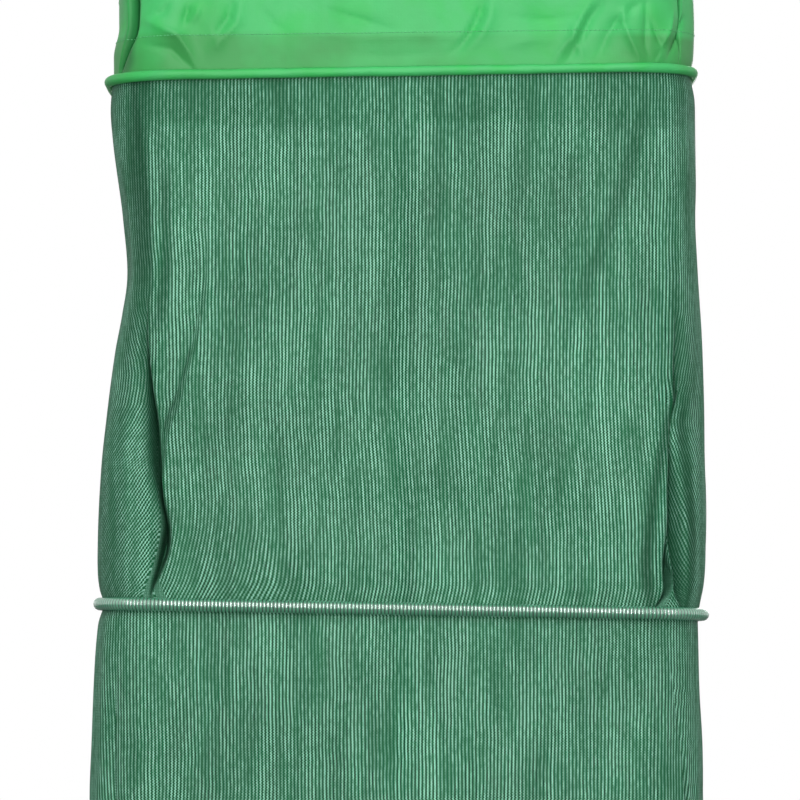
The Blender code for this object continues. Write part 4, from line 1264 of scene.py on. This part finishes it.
class NET_OT_clamp(bpy.types.Operator):
    """Makes the clamp's two moulded halves and the four screws that hold them together."""

    bl_idname = "keep_net.clamp"
    bl_label = "Clamp"

    def execute(self, context):
        middle = Vector((0, -FRAME_OFFSET, PIVOT_HEIGHT))
        side, top, far = CLAMP_SIDE / MM, 11.5, 9.0
        places = [(x, z) for x in (-19.0, 19.0) for z in (-7.7, 7.7)]
        for name, near, out in (("clamp_half_outer", 0.3, 1), ("clamp_half_inner", -0.3, -1)):
            face = [(near, -top), (out * (far - 2.0), -top), (out * far, 2.0 - top),
                    (out * far, top - 2.0), (out * (far - 2.0), top), (near, top)]
            if out > 0:
                pivot = FRAME_OFFSET / MM
                eye = [(7.0, 9.0), *disc(9.0, 32, (pivot, 0), math.pi / 2, -math.pi), (7.0, -9.0)]
                steps = [("UNION", prism(eye, low, low + 6.0, "X", middle))
                         for low in (-14.6, 8.6)]
                hole = disc(PIVOT_HOLE, 40, (pivot, 0))
                steps.append(("DIFFERENCE", prism(hole, -16.0, 16.0, "X", middle)))
            else:
                pad = [(-12.0, -6.5), (12.0, -6.5), (13.5, -5.0), (13.5, 5.0), (12.0, 6.5),
                       (-12.0, 6.5), (-13.5, 5.0), (-13.5, -5.0)]
                steps = [("DIFFERENCE", prism(pad, -far - 1, 0.5 - far, "Y", middle))]
            channel = prism(disc(4.3, 48), -side - 1, side + 1, "X", middle)
            holes = [prism(disc(1.8, 20, spot), -10.0, 10.0, "Y", middle) for spot in places]
            steps += [("DIFFERENCE", cut) for cut in (channel, *holes)]
            half = combined(name, material("moulded nylon"),
                            prism(face, -side, side, "X", middle), *steps, soften=0.45)
            finish_piece(half, "mouth", "black_plastic", "clamp_body" if out > 0 else "clamp_cap")

        steel = material("turned steel")
        head = turned(((0, -2.2), (1.3, -2.15), (2.2, -1.75), (2.75, -0.9), (2.8, -0.25),
                       (2.6, 0), (1.5, 0), (1.5, 16.0), (0.9, 16.8), (0, 16.8)), 28, "Y")
        cross = [("DIFFERENCE", prism([(-a, -b), (a, -b), (a, b), (-a, b)], -3.0, -1.0, "Y"))
                 for a, b in ((1.7, 0.33), (0.33, 1.7))]
        screw = combined("screw", steel, head, *cross)
        seats = bpy.data.meshes.new("screw seats")
        seats.from_pydata([middle + Vector((x, -9.3, z)) * MM for x, z in places], [], [])
        screws = run_nodes(new_object("screw seats", seats), clamp_screws, "clamp_screws",
                           Screw=screw, Finish=steel)
        bpy.data.objects.remove(screw, do_unlink=True)
        smooth(screws.data, 40)
        finish_piece(screws, "mouth", "screw_steel", *[f"clamp_screw_{n}" for n in range(1, 5)])
        return {"FINISHED"}


class NET_OT_pivot(bpy.types.Operator):
    """Makes the threaded socket, the bolt and washers that it turns on, and the lobed knob."""

    bl_idname = "keep_net.pivot"
    bl_label = "Socket, pivot and knob"

    def execute(self, context):
        plastic, rubber = material("moulded nylon"), material("moulded rubber")
        steel = material("turned steel")
        pivot = Vector((0, 0, PIVOT_HEIGHT))
        hole = PIVOT_HOLE
        pieces = {}

        head = turned(((0, -18.4), (3.4, -18.4), (4.8, -18.0), (5.7, -17.0), (6.0, -15.6),
                       (5.8, -14.9), (3.0, -14.9), (3.0, 25.2), (2.4, 25.9), (0, 25.9)),
                      48, "X", pivot)
        drive = prism(disc(2.9, 6), -19.0, -16.6, "X", pivot)
        pieces["pivot_bolt"] = combined("socket_bolt", steel, head, ("DIFFERENCE", drive))
        for name, finish, outer, low, high, node in (
                ("rubber_washer_left", rubber, 8.0, -8.3, -7.3, "friction_washer_left"),
                ("rubber_washer_right", rubber, 8.0, 7.3, 8.3, "friction_washer_right"),
                ("plain_washer", steel, 7.5, 14.9, 16.1, "thrust_washer")):
            ring = turned(((hole, low + 0.1), (hole + 0.1, low), (outer - 0.2, low),
                           (outer, low + 0.2), (outer, high - 0.2), (outer - 0.2, high),
                           (hole + 0.1, high), (hole, high - 0.1)), 56, "X", pivot)
            pieces[node] = mesh_object(name, ring, finish)

        def fluted(radius, along, angle):
            return radius - 0.45 * max(0.0, math.cos(12 * angle)) ** 3 * (4.5 < along < 21)

        barrel = turned(((0, 1.8), (7.4, 1.8), (8.0, 2.4), (8.0, 4.0), (8.0, 5.5), (8.0, 13.0),
                         (8.0, 20.0), (8.0, 22.0), (8.0, 26.2), (7.2, 27.0), (0, 27.0)),
                        96, "Z", (0, 0, 0), fluted)
        top = PIVOT_HEIGHT / MM
        tongue = [(-8.0, 22.0), (8.0, 22.0), *disc(8.7, 32, (0, top), 0.0, math.pi)]
        pieces["bankstick_socket"] = combined(
            "socket_body", plastic, barrel,
            ("UNION", prism(tongue, -7.0, 7.0, "X")),
            ("DIFFERENCE", prism(disc(6.3, 64), 0.0, 20.0, "Z")),
            ("DIFFERENCE", prism(disc(hole, 40, (0, top)), -9.0, 9.0, "X")))

        def threaded(radius, along, angle):
            if radius > 5 or along < 0.9:
                return radius
            beat = (along / THREAD_PITCH + angle / (2 * math.pi)) % 1.0
            return 4.15 + 0.6 * abs(2 * beat - 1)

        bore = [(4.5, 0.2 * step) for step in range(5, 95)][::-1]
        insert = turned([(7.0, 0.25), (7.0, 1.3), (6.8, 1.5), (6.0, 1.5), (6.0, 18.7), (5.7, 19.0),
                         *bore, (4.9, 0.4), (5.1, 0), (6.75, 0)], 64, "Z", (0, 0, 0), threaded)
        pieces["thread_insert"] = mesh_object("brass_insert", insert, material("turned brass"))

        def lobed(radius, along, angle):
            grip = 0.3 * max(0.0, math.cos(50 * angle)) * (18.5 < along < 26.6 and radius > 13)
            return radius * (1 + 0.1286 * math.cos(5 * angle)) - grip

        knob = turned(((0, 16.4), (8.0, 16.4), (12.6, 16.4), (13.6, 16.8), (14.0, 17.9),
                       (14.0, 18.4), (14.0, 18.9), (14.0, 22.4), (14.0, 26.2), (14.0, 26.7),
                       (13.95, 27.2), (13.5, 28.0), (12.5, 28.4), (10.6, 28.4), (9.6, 28.1),
                       (9.0, 27.6), (5.0, 27.5), (0, 27.5)), 300, "X", pivot, lobed)
        pieces["lock_knob"] = combined(
            "knob_body", plastic, knob,
            ("DIFFERENCE", prism(disc(6.05, 6), 16.0, 21.5, "X", pivot)),
            ("DIFFERENCE", prism(disc(hole, 40), 16.0, 26.9, "X", pivot)))
        slots = {part["node"]: part["material_slot"] for part in frame["record"]["subparts"]}
        for node, piece in pieces.items():
            finish_piece(piece, carrier(node), slots[node], node)
        return {"FINISHED"}


class NET_OT_ferrules(bpy.types.Operator):
    """Makes the crimped ferrules at the back of the hoops and finishes the rods and the nut."""

    bl_idname = "keep_net.ferrules"
    bl_label = "Ferrules and rods"

    def execute(self, context):
        half = [(3.2, 15.0), (3.5, 14.7)]
        for at in (11.5, 9.0, 6.5):
            half += [(3.5, at + 0.9), (3.2, at + 0.4), (3.2, at - 0.4), (3.5, at - 0.9)]
        profile = [(2.8, 15.0), *half, *[(r, -x) for r, x in reversed(half)], (2.8, -15.0)]
        finished = {"knob_nut": "turned brass"}
        for number, (rod, body, _) in enumerate(HOOPS):
            finished[rod] = "drawn aluminium"
            if number == 0:
                continue
            facts = hoop_facts(number)
            ring = turned(profile, 36, "X", (0, facts[1] / 2, 0))
            for corner in ring.verts:
                corner.co = rolled(np.array(corner.co), facts)
            piece = mesh_object(
                rod.replace("_rod", "_joint_tube"), ring, material("turned steel"))
            finish_piece(piece, body, "ferrule_steel", rod.replace("_rod", "_ferrule"))
        for node, name in finished.items():
            slots = frame["nodes"][node].data.materials
            slots.clear()
            slots.append(material(name))
        return {"FINISHED"}


class NET_OT_stage(bpy.types.Operator):
    """Sets up the camera, soft studio light, white surroundings and a pale floor."""

    bl_idname = "keep_net.stage"
    bl_label = "Stage"

    def execute(self, context):
        scene = context.scene
        scene.view_settings.view_transform = "Standard"
        lens = bpy.data.cameras.new("camera")
        lens.sensor_width = 36.0
        lens.lens = lens.sensor_width * FOCAL_PIXELS / PHOTO_SIZE
        lens.clip_end = 100.0
        scene.camera = new_object("camera", lens)
        scene.camera.location = CAMERA_PLACE
        scene.camera.rotation_euler = (math.radians(90 + CAMERA_TILT), 0, 0)

        scene.world = bpy.data.worlds.new("studio")
        scene.world.use_nodes = True
        scene.world.node_tree.nodes.clear()
        add = functools.partial(add_node, scene.world.node_tree)
        path = add("LightPath").outputs
        seen = path["Is Camera Ray"]
        for kind in ("Is Transmission Ray", "Is Glossy Ray"):
            seen = add("Math", seen, path[kind], operation="ADD")
        # White where it is seen, and dim as a light
        strength = add("MapRange", seen, None, None, 0.23, 1.0)
        add("OutputWorld", add("Background", (1, 1, 1, 1), strength))

        for name, place, size, power in LAMPS:
            lamp = bpy.data.lights.new(name, "AREA")
            lamp.shape = "RECTANGLE"
            lamp.size, lamp.size_y = size
            lamp.energy = power
            piece = new_object(name, lamp)
            piece.location = place
            piece.visible_camera = False
            aim = Vector(LAMP_AIM) - Vector(place)
            piece.rotation_euler = aim.to_track_quat("-Z", "Y").to_euler()

        shape = bmesh.new()
        bmesh.ops.create_grid(shape, x_segments=2, y_segments=2, size=12.0)
        bmesh.ops.translate(shape, verts=shape.verts, vec=(0, 0, CAD_BOX[0].z - 0.2))
        mesh_object("floor", shape, material("painted floor"))
        return {"FINISHED"}


class NET_PT_panel(bpy.types.Panel):
    """The net's sizes, colours and steps in the sidebar."""

    bl_idname = "NET_PT_panel"
    bl_label = "Keep net"
    bl_space_type = "VIEW_3D"
    bl_region_type = "UI"
    bl_category = "Keep net"

    def draw(self, context):
        for group in (context.scene.net_sizes, context.scene.net_colours):
            for name in group.__annotations__:
                self.layout.prop(group, name)
        for step in STEPS:
            self.layout.operator(step.bl_idname)


STEPS = (
    NET_OT_stage, NET_OT_collar, NET_OT_sleeves, NET_OT_hoops, NET_OT_base, NET_OT_clamp,
    NET_OT_pivot, NET_OT_ferrules)
CLASSES = (NetSizes, NetColours, *STEPS, NET_PT_panel)


def register():
    for kind in CLASSES:
        bpy.utils.register_class(kind)
    bpy.types.Scene.net_sizes = PointerProperty(type=NetSizes)
    bpy.types.Scene.net_colours = PointerProperty(type=NetColours)


def unregister():
    del bpy.types.Scene.net_sizes
    del bpy.types.Scene.net_colours
    for kind in reversed(CLASSES):
        bpy.utils.unregister_class(kind)


def main():
    register()
    for step in STEPS:
        group, name = step.bl_idname.split(".")
        getattr(getattr(bpy.ops, group), name)()


if __name__ == "__main__":
    main()
